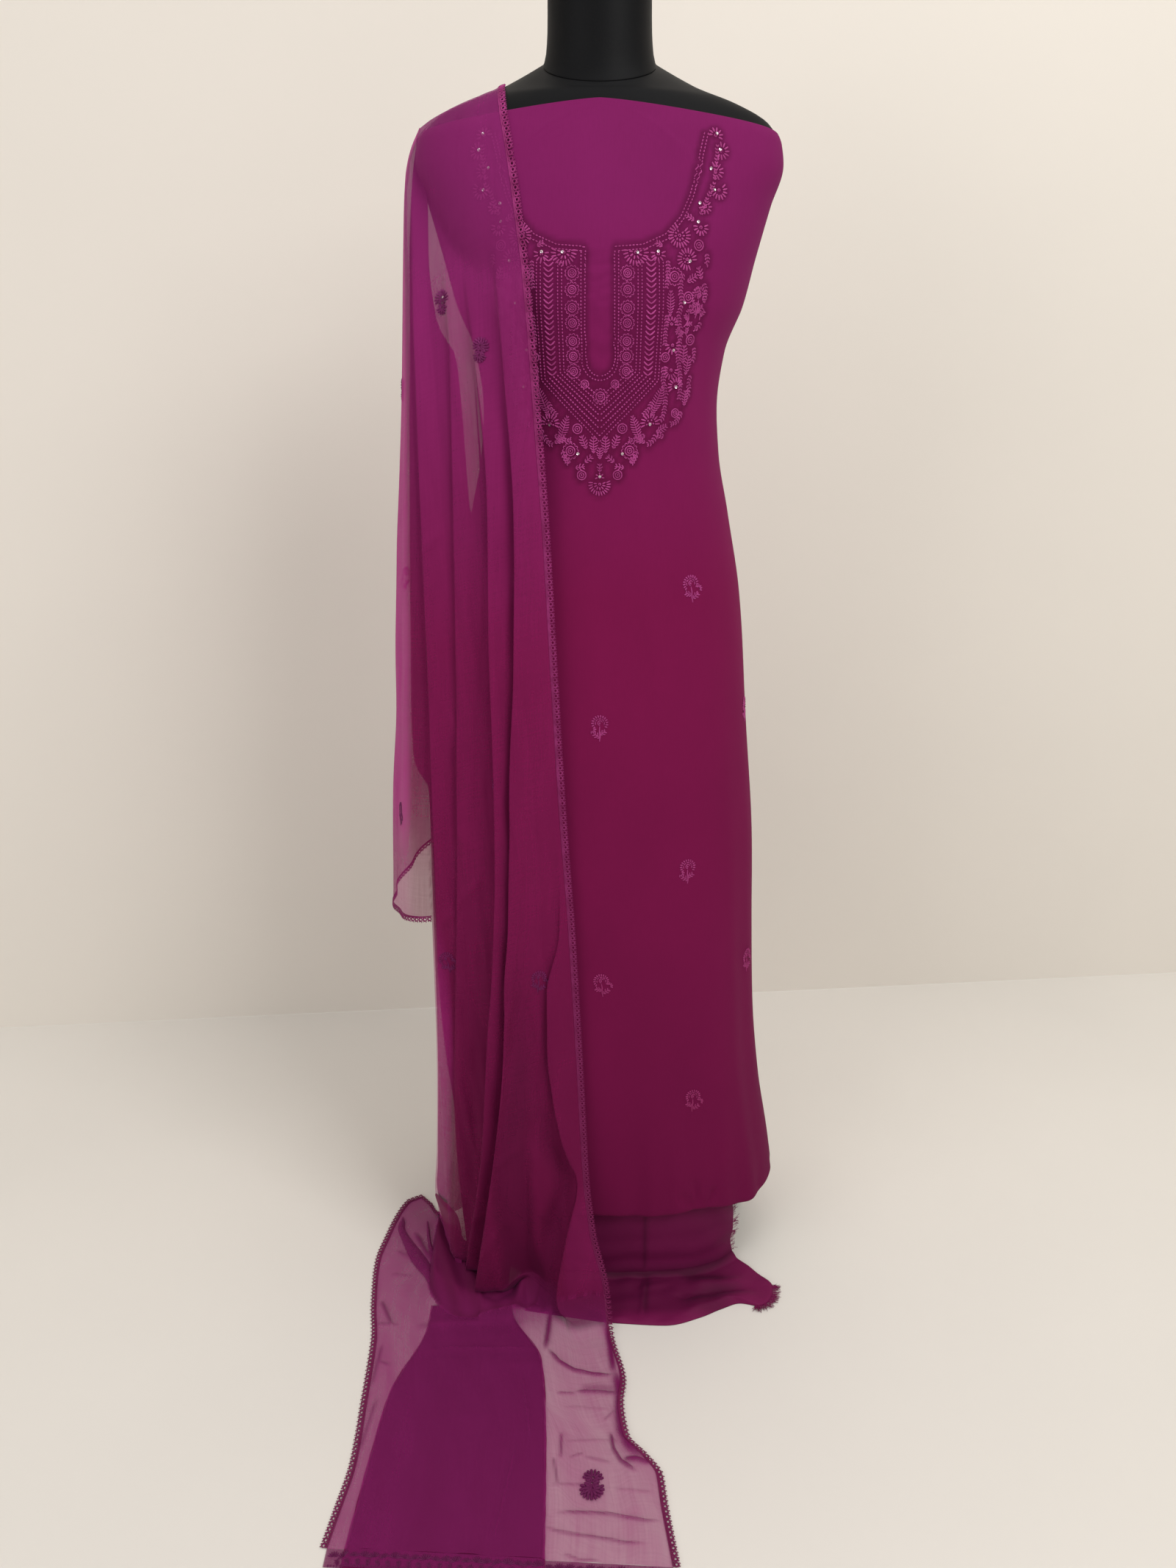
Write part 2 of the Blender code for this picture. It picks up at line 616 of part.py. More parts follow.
def fray(name, path, outwards, up, strands, reach):
    """A narrow backing strip with pointed strands fused along its outer side."""
    width, thick = 0.0012, 0.0009
    stations = 2 * strands + 1
    share = np.linspace(0.0, 1.0, stations)
    walk = np.linspace(0.0, 1.0, len(path))
    spots = np.stack([np.interp(share, walk, path[:, k]) for k in range(3)], axis=-1)
    away = np.stack([np.interp(share, walk, outwards[:, k]) for k in range(3)], axis=-1)
    away /= np.linalg.norm(away, axis=-1, keepdims=True)
    up = np.asarray(up)
    start = spots + away * GAP
    end = start + away * width
    points = np.concatenate([start, start + up * thick, end, end + up * thick])
    a, b, c, d = 0, stations, 2 * stations, 3 * stations
    faces = [(a, b, d, c), (a + stations - 1, b + stations - 1, d + stations - 1, c + stations - 1)]
    tips = []
    for i in range(stations - 1):
        j = i + 1
        faces += [(a + i, a + j, b + j, b + i), (b + i, b + j, d + j, d + i)]
        faces.append((c + i, c + j, a + j, a + i))
        root = (c + i, c + j, d + j, d + i)
        if i % 2 == 0:
            tip = 4 * stations + len(tips)
            sway = math.sin(2.4 * i) * 0.25
            middle = (end[i] + end[j]) / 2.0 + up * thick / 2.0
            along = (spots[-1] - spots[0]) / np.linalg.norm(spots[-1] - spots[0])
            long = reach * (0.78 + 0.22 * math.sin(1.7 * i + 0.6))
            tips.append(middle + (away[i] + along * sway) * long)
            faces += [(root[k], root[(k + 1) % 4], tip) for k in range(4)]
        else:
            faces.append(root)
    solid(name, np.concatenate([points, np.array(tips)]), faces, "salwar")


def build_frays(salwar, outwards, front):
    """Cut edges: one up the hanging cloth's right edge, one round the floor fold's corner."""
    count = 5
    edge = salwar[-3:, 0]
    levels = np.linspace(0.083, 0.004, count)
    walk = edge[::-1, 2]
    path = np.stack([np.interp(levels, walk, edge[::-1, 0]),
                     np.interp(levels, walk, edge[::-1, 1]), levels], axis=-1)
    side = salwar[-1, 0] - salwar[-1, 1]
    side[2] = 0.0
    side /= np.linalg.norm(side)
    inwards = -outwards[0] * CLOTH
    fray("salwar_fray_edge", path + inwards, np.tile(side, (count, 1)), outwards[0], 24, 0.012)

    corner = np.concatenate([front[:4], np.full((4, 1), 0.0006)], axis=-1)
    along = np.gradient(corner, axis=0)
    away = np.cross(along, [0.0, 0.0, 1.0])
    if away[0, 0] < 0.0:
        away = -away
    away /= np.linalg.norm(away, axis=-1, keepdims=True)
    fray("salwar_fray_floor", corner, away, (0.0, 0.0, 1.0), 26, 0.012)


# ---------------------------------------------------------------- dupatta
def fold_rise(folds, place, z):
    """How far the folds stand out at each place across the stretch."""
    rise = np.zeros_like(place)
    for fold in folds:
        middle = fold.foot_place + (fold.top_place - fold.foot_place) * smooth(0.1, 1.2, z)
        away = np.clip(np.abs(place - middle) / fold.width, 0.0, 1.0)
        grow = smooth(0.0, 0.45, fold.start - z) * smooth(0.0, 0.10, z)
        rise += fold.depth * grow * np.cos(away * math.pi / 2.0) ** 2
    return rise


def body_depth(x, z, name):
    """How far the dressed body reaches from its middle plane at x."""
    rows = FORM_ROWS if z >= FREE_TOP else KAMEEZ_ROWS
    wide = float(column(rows, "left", z))
    reach = float(column(rows, name, z))
    power = float(column(rows, "square", z))
    inside = max(0.0, 1.0 - (abs(x) / wide) ** power)
    return reach * inside ** (1.0 / power)


def drops(first, last_rows):
    """Shares of the fall from the ridge: close rows over the shoulder, then even ones."""
    close = first * (np.arange(8) / 8.0) ** 2
    return np.concatenate([close, np.linspace(first, 1.0, last_rows)])


def drape_grid(rows, folds, places, shares, foot_z, name, sign, envelope):
    """A stretch from the shoulder ridge downwards, resting on the bodies it touches."""
    grid = np.zeros((len(shares), len(places), 3))
    ridge_x = -0.105 + places * (-0.189 + 0.105)
    ridge_z = column(RIDGE_ROWS, "z", ridge_x, key="x")
    for i, share in enumerate(shares):
        z = ridge_z + (foot_z - ridge_z) * share
        lace_x, lace_y = column(rows, "lace_x", z), column(rows, "lace_y", z)
        outer_x, outer_y = column(rows, "outer_x", z), column(rows, "outer_y", z)
        bend = column(rows, "bend", z)
        x = lace_x + (outer_x - lace_x) * places
        hang = lace_y + (outer_y - lace_y) * places ** bend
        rest = np.array([body_depth(a, b, name) for a, b in zip(x, z)])
        edge = smooth(0.0, 0.06, places) * smooth(0.0, 0.06, 1.0 - places)
        y = np.maximum(hang, rest) + fold_rise(folds, places, z) * edge
        grid[i] = np.stack([x, sign * y, z], axis=-1)
    grid[0, :, 0] = ridge_x
    grid[0, :, 1] = 0.0
    return pushed_out(grid, envelope)


def closed_at_ridge(grid, sign):
    """The wall's outer face; both faces end at the ridge's plane."""
    outer = grid + normals(grid) * CHIFFON
    for face in (grid, outer):
        face[..., 1] = sign * np.maximum(sign * face[..., 1], RIDGE_CLEAR)
        face[0, :, 1] = sign * GAP / 2.0
    return outer


def build_front(envelope):
    knots = len(FOOT_KNOTS)
    places = np.linspace(0.0, 1.0, (knots - 1) * COLUMNS_PER_KNOT + 1)
    low = 0.014
    grid = drape_grid(FRONT_ROWS, FRONT_FOLDS, places, drops(0.065, 17), low, "front", -1.0, envelope)
    spots = np.arange(knots) / (knots - 1)
    foot = np.stack([np.interp(places, spots, [getattr(k, c) for k in FOOT_KNOTS])
                     for c in ("x", "y", "height")], axis=-1)
    stay = smooth(0.0, FOOT_ZONE, grid[..., 2:])
    grid[..., :2] = foot[None, :, :2] * (1.0 - stay) + grid[..., :2] * stay
    grid = pushed_out(grid, envelope)
    outer = closed_at_ridge(grid, -1.0)
    along = np.gradient(foot[:, :2], axis=0)
    behind = np.stack([-along[:, 1], along[:, 0], np.zeros(len(places))], axis=-1)
    behind /= -np.linalg.norm(behind, axis=-1, keepdims=True)
    back = foot + behind * GAP
    lower = np.concatenate([grid, back[None]])
    upper = np.concatenate([outer, (back + np.array([0.0, 0.0, CHIFFON]))[None]])
    wall("dupatta_front", upper, lower, "dupatta")
    return lower, upper


def build_back(envelope):
    places = np.linspace(0.0, 1.0, 15)
    shares = drops(0.105, 9)
    grid = drape_grid(BACK_ROWS, BACK_FOLDS, places, shares, BACK_HEM, "back", 1.0, envelope)
    grid = grid[:, ::-1]
    outer = closed_at_ridge(grid, 1.0)
    wall("dupatta_back", outer, grid, "dupatta")
    return grid, outer


def build_side(front_edge, back_edge, envelope):
    """The stretch that falls off the shoulder's end and joins front to back."""
    turns = np.linspace(0.0, 1.0, 13)
    hem = curve([0.0, 0.5, 1.0], SIDE_HEM, turns)
    free = front_edge[:, 2] < SHOULDER_TOP
    levels = [z for z in front_edge[free, 2] if z > max(SIDE_HEM) + 0.02]
    grid = np.zeros((len(levels) + 1, len(turns), 3))
    for i in range(len(grid)):
        z = np.full(len(turns), levels[i]) if i < len(levels) else hem
        reach = column(SIDE_ROWS, "reach", z)
        ripple = 0.004 * smooth(0.0, 0.5, 1.25 - z) * np.sin(turns * math.pi * 6.0) ** 2
        for edge, half, sign in ((front_edge, turns <= 0.5, 1.0), (back_edge, turns > 0.5, -1.0)):
            near_x = np.interp(-z, -edge[:, 2], edge[:, 0])
            near_y = np.interp(-z, -edge[:, 2], edge[:, 1])
            angle = turns * math.pi
            x = near_x - (reach + near_x - ripple) * np.sin(angle)
            y = sign * near_y * np.cos(angle)
            grid[i, half] = np.stack([x, y, z], axis=-1)[half]
    grid = pushed_out(grid, envelope)
    outer = grid + normals(grid) * CHIFFON
    wall("dupatta_side", outer, grid, "dupatta")
    return grid, outer


def floor_grid():
    """Underside of the dupatta on the floor: it climbs over the fold and the panel."""
    panel_rest = PANEL_HEIGHT + GAP
    pool_rest = POOL_HEIGHT + GAP
    columns = len(FOOT_KNOTS) + 2
    early = 6
    rows = 12
    first = np.zeros((columns, 3))
    first[:-2] = [(k.x, k.y - GAP / 2.0, k.height) for k in FOOT_KNOTS]
    first[-2] = (-0.243, -0.004, 0.0)
    first[-1] = (-0.260, 0.012, 0.0)

    def lines(y):
        """Where each column lies at its own y."""
        right = column(FLOOR_RIGHT, "x", y, key="y")
        left = column(FLOOR_LEFT, "x", y, key="y")
        near = column(PANEL_RIGHT, "x", y, key="y")
        far = column(PANEL_LEFT, "x", y, key="y")
        margin = near + PANEL_MARGIN
        x = [right[0], right[1] * 0.62 + margin[1] * 0.38, right[2] * 0.30 + margin[2] * 0.70,
             margin[3], near[4], near[5] * 0.66 + far[5] * 0.34, near[6] * 0.33 + far[6] * 0.67,
             far[7], far[8] - PANEL_MARGIN, (far[9] - PANEL_MARGIN + left[9]) / 2.0, left[10]]
        return np.array(x)

    second_y = np.array([-0.232, -0.232, -0.230, -0.204, -0.194, -0.194, -0.194, -0.194, -0.194,
                         -0.190, -0.190])
    second_z = np.array([pool_rest] * 4 + [panel_rest] * 5 + [0.0] * 2)
    third_y = np.array([-0.247, -0.247, -0.246, -0.230, -0.222, -0.222, -0.222, -0.222, -0.222,
                        -0.222, -0.222])
    rest_z = np.array([0.0] * 3 + [panel_rest] * 6 + [0.0] * 2)
    second = np.stack([lines(second_y), second_y, second_z], axis=-1)
    second[:3, 0] = (0.0075, -0.038, -0.083)
    grid = []
    for share in np.arange(early) / early:
        row = first * (1.0 - share) + second * share
        for k in (-1, -2):
            row[k, 1] = first[k, 1] * (1.0 - share) ** 1.3 + second[k, 1] * (1 - (1 - share) ** 1.3)
        row[-1, 0] = column(FLOOR_LEFT, "x", row[-1, 1], key="y")
        row[-2, 0] = row[-1, 0] * 0.45 + row[-3, 0] * 0.55
        grid.append(row)
    grid.append(second)
    last_y = -0.550 + 0.020 * np.arange(columns) / (columns - 1)
    for share in np.linspace(0.0, 1.0, rows):
        y = third_y + (last_y - third_y) * share
        grid.append(np.stack([lines(y), y, rest_z], axis=-1))
    return np.array(grid)


def build_floor():
    grid = floor_grid()
    outer = grid + np.array([0.0, 0.0, CHIFFON])
    wall("dupatta_floor", outer, grid, "dupatta")
    return grid, outer


def edging(name, lower_edge, upper_edge, away, width):
    """A flat strip beside one edge of a cloth, GAP from it."""
    steps = np.array([GAP, GAP + width])
    lower = np.stack([lower_edge + away * s for s in steps], axis=1)
    upper = np.stack([upper_edge + away * s for s in steps], axis=1)
    wall(name, upper, lower, "lace")


def sideways(grid, first):
    """Unit directions out of a grid's first or last column."""
    away = grid[:, 0] - grid[:, 1] if first else grid[:, -1] - grid[:, -2]
    return away / np.linalg.norm(away, axis=-1, keepdims=True)


def build_lace(front, back, side, floor):
    lower, upper = front
    edging("dupatta_lace_front", lower[:, 0], upper[:, 0], sideways(lower, True), LACE_WIDTH)
    lower, upper = back
    edging("dupatta_lace_back", lower[:, -1], upper[:, -1], sideways(lower, False), LACE_WIDTH)
    lower, upper = side
    away = lower[-1] - lower[-2]
    away /= np.linalg.norm(away, axis=-1, keepdims=True)
    edging("dupatta_lace_side", lower[-1], upper[-1], away, LACE_WIDTH)
    lower, upper = floor
    level = np.array([1.0, 1.0, 0.0])
    for name, first, k in (("right", True, 0), ("left", False, -1)):
        away = sideways(lower * level, first)
        away[:, 1] = np.clip(away[:, 1], -0.3, 0.3) if first else away[:, 1]
        edging("dupatta_lace_floor_" + name, lower[:, k], upper[:, k], away, LACE_WIDTH)
    away = np.tile([0.0, -1.0, 0.0], (lower.shape[1], 1))
    edging("dupatta_border", lower[-1], upper[-1], away, BORDER_WIDTH)


def main():
    for thing in list(bpy.data.objects):
        bpy.data.objects.remove(thing, do_unlink=True)
    form_grid = build_form()
    build_stand()
    kameez_grid = build_kameez(form_grid)
    salwar, outwards = build_salwar(form_grid)
    pool_front = build_pool(salwar[-1], outwards[-1])
    build_panel()
    build_frays(salwar, outwards[-1], pool_front)
    envelope = envelope_tree(form_grid, kameez_grid)
    front = build_front(envelope)
    back = build_back(envelope)
    front_seam = 2.0 * GAP
    back_seam = 3.2 * GAP
    front_edge = front[0][:-1, -1] + sideways(front[0][:-1], False) * front_seam
    back_edge = back[0][:, 0] + sideways(back[0], True) * back_seam
    side = build_side(front_edge, back_edge, envelope)
    floor = build_floor()
    build_lace(front, back, side, floor)


main()
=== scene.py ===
"""Looks of an unstitched salwar kameez suit on its dress form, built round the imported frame.

Metres, +Z up, front towards -Y. The cloths' sections come from the same short tables as the
construction; everything finer (creases, stitches, lace loops, sequins) is added here.
"""

import math
from collections import namedtuple

import bmesh
import bpy
import numpy as np
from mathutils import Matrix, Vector
from mathutils.bvhtree import BVHTree
from mathutils.kdtree import KDTree


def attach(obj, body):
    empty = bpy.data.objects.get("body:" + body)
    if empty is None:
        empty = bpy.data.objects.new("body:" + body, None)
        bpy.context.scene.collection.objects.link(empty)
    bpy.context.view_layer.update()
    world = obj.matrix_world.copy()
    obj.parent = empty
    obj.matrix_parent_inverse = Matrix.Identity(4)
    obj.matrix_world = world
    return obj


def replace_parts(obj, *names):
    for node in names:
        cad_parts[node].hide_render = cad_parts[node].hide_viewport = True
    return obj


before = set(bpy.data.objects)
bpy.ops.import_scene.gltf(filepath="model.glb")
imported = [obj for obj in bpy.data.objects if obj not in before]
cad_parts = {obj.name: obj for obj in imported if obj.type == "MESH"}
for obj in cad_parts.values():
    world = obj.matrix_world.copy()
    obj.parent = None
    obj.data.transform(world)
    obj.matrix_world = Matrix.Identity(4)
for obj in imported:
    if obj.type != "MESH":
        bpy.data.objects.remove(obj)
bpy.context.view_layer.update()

MM = 0.001
UP = np.array([0.0, 0.0, 1.0])
LEVEL = np.array([1.0, 1.0, 0.0])       # keeps x and y of a direction, and drops its height
CLOTH_OFF = 0.0018          # outer face of the kameez off the form
SHEER_OFF = 0.0013          # the chiffon off what it lies on
HOLD_REACH = 0.03           # how near a surface has to be to hold the chiffon off
SHOULDER_Z = 1.37           # above this the chiffon lies on top of what carries it
FORM_TOP = 1.4357
FORM_FOOT = 0.781
FORM_SIDES = 144            # columns round the form
NECK_SLOPE = 0.44
NECK_TOP = 1.545
KAMEEZ_TOP = 1.386
KAMEEZ_SIDES = 300
FREE_TOP = 1.200            # below this the kameez hangs free of the form
HEM_Z = 0.118
HEM_ROLL = 0.006
HEM_TURN = 0.012
TOP_DIP = 0.0165            # how far the kameez's top edge falls at the sides
LAP_RISE = 0.0022
LAP_SHARE = 0.046
SALWAR_TOP = 0.779
SALWAR_FIRST = 15 / 44      # where the salwar cloth starts and ends, as shares of its way round
SALWAR_LAST = 55 / 44
POOL_REACH = 11.5 / 40      # share of the salwar cloth's width that breaks forward on the floor
POOL_HEIGHT = 0.0040
POOL_BACK_HEIGHT = 0.0090
PANEL_HEIGHT = 0.0024
PANEL_BACK = -0.200
PANEL_FRONT = -0.600
FRONT_COLUMNS = 150
BACK_COLUMNS = 90
SIDE_COLUMNS = 64
BACK_HEM = 0.550
FOOT_LIFT = 0.028           # height from which the hanging chiffon turns onto the floor
FOOT_MELT = 0.110           # height below which the foot's own line takes over
FOOT_TURN = 0.050           # how far out it comes down to the floor
LACE_PITCH = 0.0060
LACE_CORDS = ((0.0003, 0.0009), (0.0016, 0.0008))     # distance off the edge, and half width
RING_OFF = 0.0041           # middle of the lace's rings off the cloth's edge
RING_RADIUS = 0.0021
BORDER_DEPTH = 0.020
SCALLOP_PITCH = 0.0105
RUN_PITCH = 0.0030          # of the border's running stitches
RUN_LINES = (0.0175, 0.0190)
FRAY_WIDE = 0.00032
EDGE_FRAY = (0.0120, 150, 91)       # reach, number of strands, and seed
FLOOR_FRAY = (0.0115, 170, 92)
FRAY_ROWS = 60              # rows of the salwar cloth's edge that are frayed
RIDGE_LACE_X = -0.105       # the ridge on the shoulder, from the lace to the outer edge
RIDGE_OUTER_X = -0.189
THREAD_RISE = 1.35          # height of a raised stitch, as a share of its half width
THREAD_SIDES = 5
SEQUIN_RADIUS = 0.0015
SEQUIN_SIDES = 16
SEQUIN_RINGS = ((0.22, 0.10), (0.30, 0.16), (0.72, 0.20), (1.0, 0.52))   # radius and rise, as shares


def rows_of(kind, *rows):
    """A table of named rows. Whole numbers in it are lengths in tenths of a millimetre."""
    return tuple(kind(*in_metres(row)) for row in rows)


def in_metres(value):
    if isinstance(value, tuple):
        return tuple(in_metres(part) for part in value)
    return value / 10000 if isinstance(value, int) else value


# ------------------------------------------------------------------ tables shared with the solids
Row = namedtuple("Row", "z right left front back square")
FORM_ROWS = rows_of(Row,
    (7800, 1420, 1420, 980, 1050, 2.4), (8500, 1540, 1540, 1040, 1120, 2.4),
    (9500, 1380, 1380, 920, 1020, 2.3), (10600, 1160, 1160, 830, 870, 2.3),
    (11400, 1220, 1220, 980, 920, 2.3), (12000, 1525, 1525, 1220, 1000, 2.3),
    (12550, 1672, 1672, 1160, 1020, 2.3), (13050, 1812, 1812, 1010, 990, 2.25),
    (13420, 1928, 1928, 850, 900, 2.2), (13610, 1903, 1903, 760, 820, 2.2),
    (13790, 1793, 1793, 670, 730, 2.1), (13970, 1480, 1480, 600, 650, 2.0),
    (14170, 1000, 1000, 560, 590, 2.0), (14360, 575, 575, 540, 560, 2.0),
)
KAMEEZ_ROWS = rows_of(Row,
    (1180, 2345, 1880, 1650, 1500, 3.6), (1600, 2280, 1900, 1630, 1490, 3.6),
    (2460, 2140, 1940, 1570, 1440, 3.4), (3560, 2027, 1965, 1490, 1380, 3.2),
    (4810, 1962, 1950, 1420, 1320, 3.0), (5960, 1911, 1900, 1340, 1270, 2.9),
    (7670, 1767, 1767, 1220, 1200, 2.7), (8960, 1648, 1648, 1140, 1120, 2.5),
    (9870, 1481, 1481, 1080, 1020, 2.35), (10500, 1352, 1352, 1060, 960, 2.3),
    (11040, 1311, 1311, 1110, 960, 2.3), (11580, 1377, 1377, 1190, 980, 2.3),
    (12000, 1543, 1543, 1238, 1018, 2.3),
)
SALWAR_ROWS = rows_of(Row,
    (0, 2050, 1640, 1480, 1300, 3.4), (1100, 2030, 1640, 1460, 1290, 3.3),
    (3000, 1840, 1640, 1320, 1220, 2.9), (5000, 1680, 1600, 1180, 1160, 2.6),
    (7000, 1540, 1540, 1080, 1120, 2.4), (7700, 1470, 1470, 1020, 1080, 2.4),
)
Mark = namedtuple("Mark", "start end rise width")       # a straight crease or line
Trough = namedtuple("Trough", "place width depth start")
KAMEEZ_TROUGHS = rows_of(Trough,
    (0.065, 0.03, 0.007, 1.0), (0.13, 0.028, 0.006, 0.9), (0.205, 0.026, 0.0045, 0.8),
    (0.33, 0.024, 0.005, 0.95), (0.4, 0.03, 0.003, 0.7), (0.48, 0.034, 0.0025, 0.6),
    (0.7, 0.03, 0.005, 0.85), (0.79, 0.028, 0.006, 0.9), (0.865, 0.03, 0.0065, 0.95),
    (0.935, 0.028, 0.006, 1.0),
)
Drape = namedtuple("Drape", "z lace_x lace_y outer_x outer_y bend")
FRONT_ROWS = rows_of(Drape,
    (0, 60, 2140, -2240, 600, 2.2), (400, -10, 2060, -2235, 780, 2.2),
    (1100, -125, 1920, -2200, 1050, 2.1), (1790, -205, 1800, -2130, 1180, 2.0),
    (3440, -285, 1600, -2045, 1250, 2.0), (5270, -375, 1500, -2020, 1220, 2.0),
    (6480, -455, 1410, -2000, 1190, 2.0), (8300, -545, 1330, -1950, 1100, 1.8),
    (9640, -605, 1240, -1960, 980, 1.5), (10800, -675, 1210, -1980, 830, 1.2),
    (12020, -745, 1270, -2000, 580, 1.0), (13000, -865, 600, -2030, 300, 1.0),
    (13450, -930, 200, -1995, 130, 1.0), (13790, -990, 0, -1890, 0, 1.0),
    (14170, -1050, 0, -1870, 0, 1.0),
)
BACK_ROWS = rows_of(Drape,
    (5500, -700, 1360, -2000, 1120, 2.0), (8300, -760, 1240, -1950, 1000, 1.8),
    (10800, -820, 1080, -1980, 780, 1.4), (12020, -880, 1060, -2000, 550, 1.0),
    (13000, -950, 600, -2030, 300, 1.0), (13450, -990, 200, -1995, 130, 1.0),
    (13790, -1020, 0, -1890, 0, 1.0), (14170, -1050, 0, -1870, 0, 1.0),
)
Ridge = namedtuple("Ridge", "x z")
RIDGE_ROWS = rows_of(Ridge,
    (-1900, 13790), (-1775, 13873), (-1585, 13965), (-1343, 14058), (-1168, 14128), (-1010, 14173),
)
Side = namedtuple("Side", "z reach")
SIDE_ROWS = rows_of(Side,
    (5000, 2685), (6150, 2608), (6900, 2540), (8000, 2466), (9370, 2369), (10950, 2221), (12700, 2110),
    (13330, 2065), (13500, 2030), (13620, 1990), (13790, 1900),
)
SIDE_HEM = (0.5230, 0.5050, 0.5500)
Foot = namedtuple("Foot", "x y height")
FOOT_KNOTS = rows_of(Foot,
    (60, -2140, POOL_HEIGHT), (-280, -2130, POOL_HEIGHT), (-600, -2050, POOL_HEIGHT),
    (-920, -1900, 30), (-1220, -1780, 0), (-1500, -1670, 0), (-1720, -1560, 0), (-1920, -1420, 0),
    (-2240, -600, 0),
)
Edge = namedtuple("Edge", "y x")
FLOOR_LEFT = rows_of(Edge,
    (-5300, -2810), (-4850, -2755), (-4300, -2700), (-3480, -2735), (-2600, -2785), (-2000, -2895),
    (-1180, -2980), (-800, -2935), (-330, -2855), (0, -2740), (120, -2600),
)
FLOOR_RIGHT = rows_of(Edge,
    (-5500, 745), (-4780, 655), (-4440, 625), (-4200, 480), (-3940, 270), (-3480, 215), (-3160, 250),
    (-2510, 110), (-2140, 60),
)
PANEL_LEFT = rows_of(Edge,
    (-6000, -2640), (-4390, -2560), (-3410, -2480), (-2290, -2157), (-2000, -2160),
)
PANEL_RIGHT = rows_of(Edge,
    (-6000, -560), (-4390, -608), (-3410, -659), (-2870, -729), (-2170, -1120), (-2000, -1160),
)
POOL_FRONT = rows_of(Edge,
    (-1647, 2282), (-1800, 2262), (-1942, 2184), (-2005, 2050), (-1960, 1820), (-2060, 1560),
    (-2200, 1280), (-2330, 830), (-2290, 200), (-2080, -960),
)

# hanging folds of the chiffon: where each fold's edge shows, facing away from the lace, how far
# the fold stands out, and how wide its face is
Fold = namedtuple("Fold", "z edge rise face")
FRONT_FOLDS = (
    rows_of(Fold,   # beside the lace, pinched near the foot and opening below
        (0, -580, 140, 400), (500, -530, 120, 340), (1100, -420, 100, 260), (1750, -280, 50, 140),
        (2320, -460, 70, 200), (2900, -570, 90, 260), (3600, -630, 100, 300), (4380, -620, 80, 220),
        (5140, -470, 40, 120), (6000, -450, 20, 100), (7000, -500, 0, 100),
    ),
    rows_of(Fold,   # the broad fold
        (0, -1660, 260, 740), (460, -1580, 280, 720), (1270, -1450, 290, 660), (2280, -1300, 270, 560),
        (3290, -1185, 230, 440), (4300, -1125, 200, 400), (5260, -1040, 170, 400),
        (7080, -985, 150, 380), (8360, -940, 140, 340), (9950, -910, 110, 280), (11200, -970, 60, 220),
        (12600, -1060, 0, 180),
    ),
    rows_of(Fold,   # the second fold
        (0, -1800, 80, 180), (920, -1665, 140, 200), (1530, -1560, 170, 200), (2240, -1470, 180, 220),
        (3750, -1360, 180, 220), (4740, -1270, 180, 240), (6160, -1205, 160, 240),
        (7500, -1200, 150, 280), (8340, -1213, 140, 280), (10100, -1193, 100, 240),
        (11200, -1260, 50, 200), (12400, -1380, 0, 160),
    ),
    rows_of(Fold,   # a low one between
        (600, -1900, 30, 140), (3000, -1810, 40, 200), (5600, -1680, 40, 260), (8000, -1600, 40, 240),
        (10000, -1570, 40, 180), (11500, -1560, 30, 140), (12600, -1620, 0, 120),
    ),
    rows_of(Fold,   # along the outer edge
        (3400, -2000, 30, 140), (5800, -1940, 80, 180), (8400, -1920, 90, 160),
        (10800, -1940, 70, 140), (12400, -1960, 40, 120), (13400, -1960, 0, 120),
    ),
)
BACK_FOLDS = (
    rows_of(Fold,
        (5000, -1160, 120, 340), (10000, -1180, 90, 300), (12400, -1220, 0, 240),
    ),
    rows_of(Fold,
        (5000, -1500, 140, 260), (9000, -1480, 120, 240), (12700, -1520, 0, 180),
    ),
    rows_of(Fold,
        (5000, -1840, 100, 220), (9000, -1820, 100, 200), (12900, -1800, 0, 160),
    ),
)
FOLD_LEAN = 1.15            # how far a fold leans over, as a share of how far it stands out
FOLD_BACK = 0.0065          # width of a fold's shadowed back
# shallow drawn-in places between the folds of the front stretch
VALLEYS = (
    rows_of(Fold,
        (0, -860, 260, 200), (1750, -860, 240, 200), (3300, -780, 140, 160), (4600, -780, 50, 120),
        (6000, -740, 0, 100),
    ),
    rows_of(Fold,
        (0, -740, 120, 220), (500, -680, 130, 220), (1100, -570, 130, 200), (1750, -440, 120, 180),
        (2400, -590, 90, 180), (3200, -690, 50, 160), (4200, -710, 0, 120),
    ),
)
# what the inner pleats span, behind the front stretch
Span = namedtuple("Span", "z left right")
PLEATS = rows_of(Span,
    (13700, -1925, -1860), (13250, -1975, -1830), (12980, -1990, -1801), (12570, -2010, -1798),
    (11880, -2030, -1716), (11690, -2035, -1609), (11575, -2040, -1529), (11430, -2045, -1498),
    (10930, -2065, -1460), (10370, -2085, -1431), (10025, -2100, -1410), (9610, -2120, -1254),
    (8760, -2155, -1021), (7520, -2200, -820), (7120, -2195, -790), (6940, -2120, -770),
    (6820, -2000, -760), (5740, -1980, -700), (4250, -1985, -680), (3230, -1934, -780),
    (2575, -1860, -900), (1870, -1855, -1000), (1000, -1820, -1060), (460, -1765, -1150),
    (80, -1700, -1200),
)
OUTER_PLEAT = rows_of(Span,
    (6900, -1985, -1700), (5800, -2000, -1650), (3440, -2035, -1600), (2000, -2110, -1600),
    (1500, -2140, -1650), (1100, -2180, -1750), (700, -2180, -2050),
)
PLEAT_GAPS = (0.0012, 0.0024, 0.0036)   # inner, middle and outer layers over the kameez
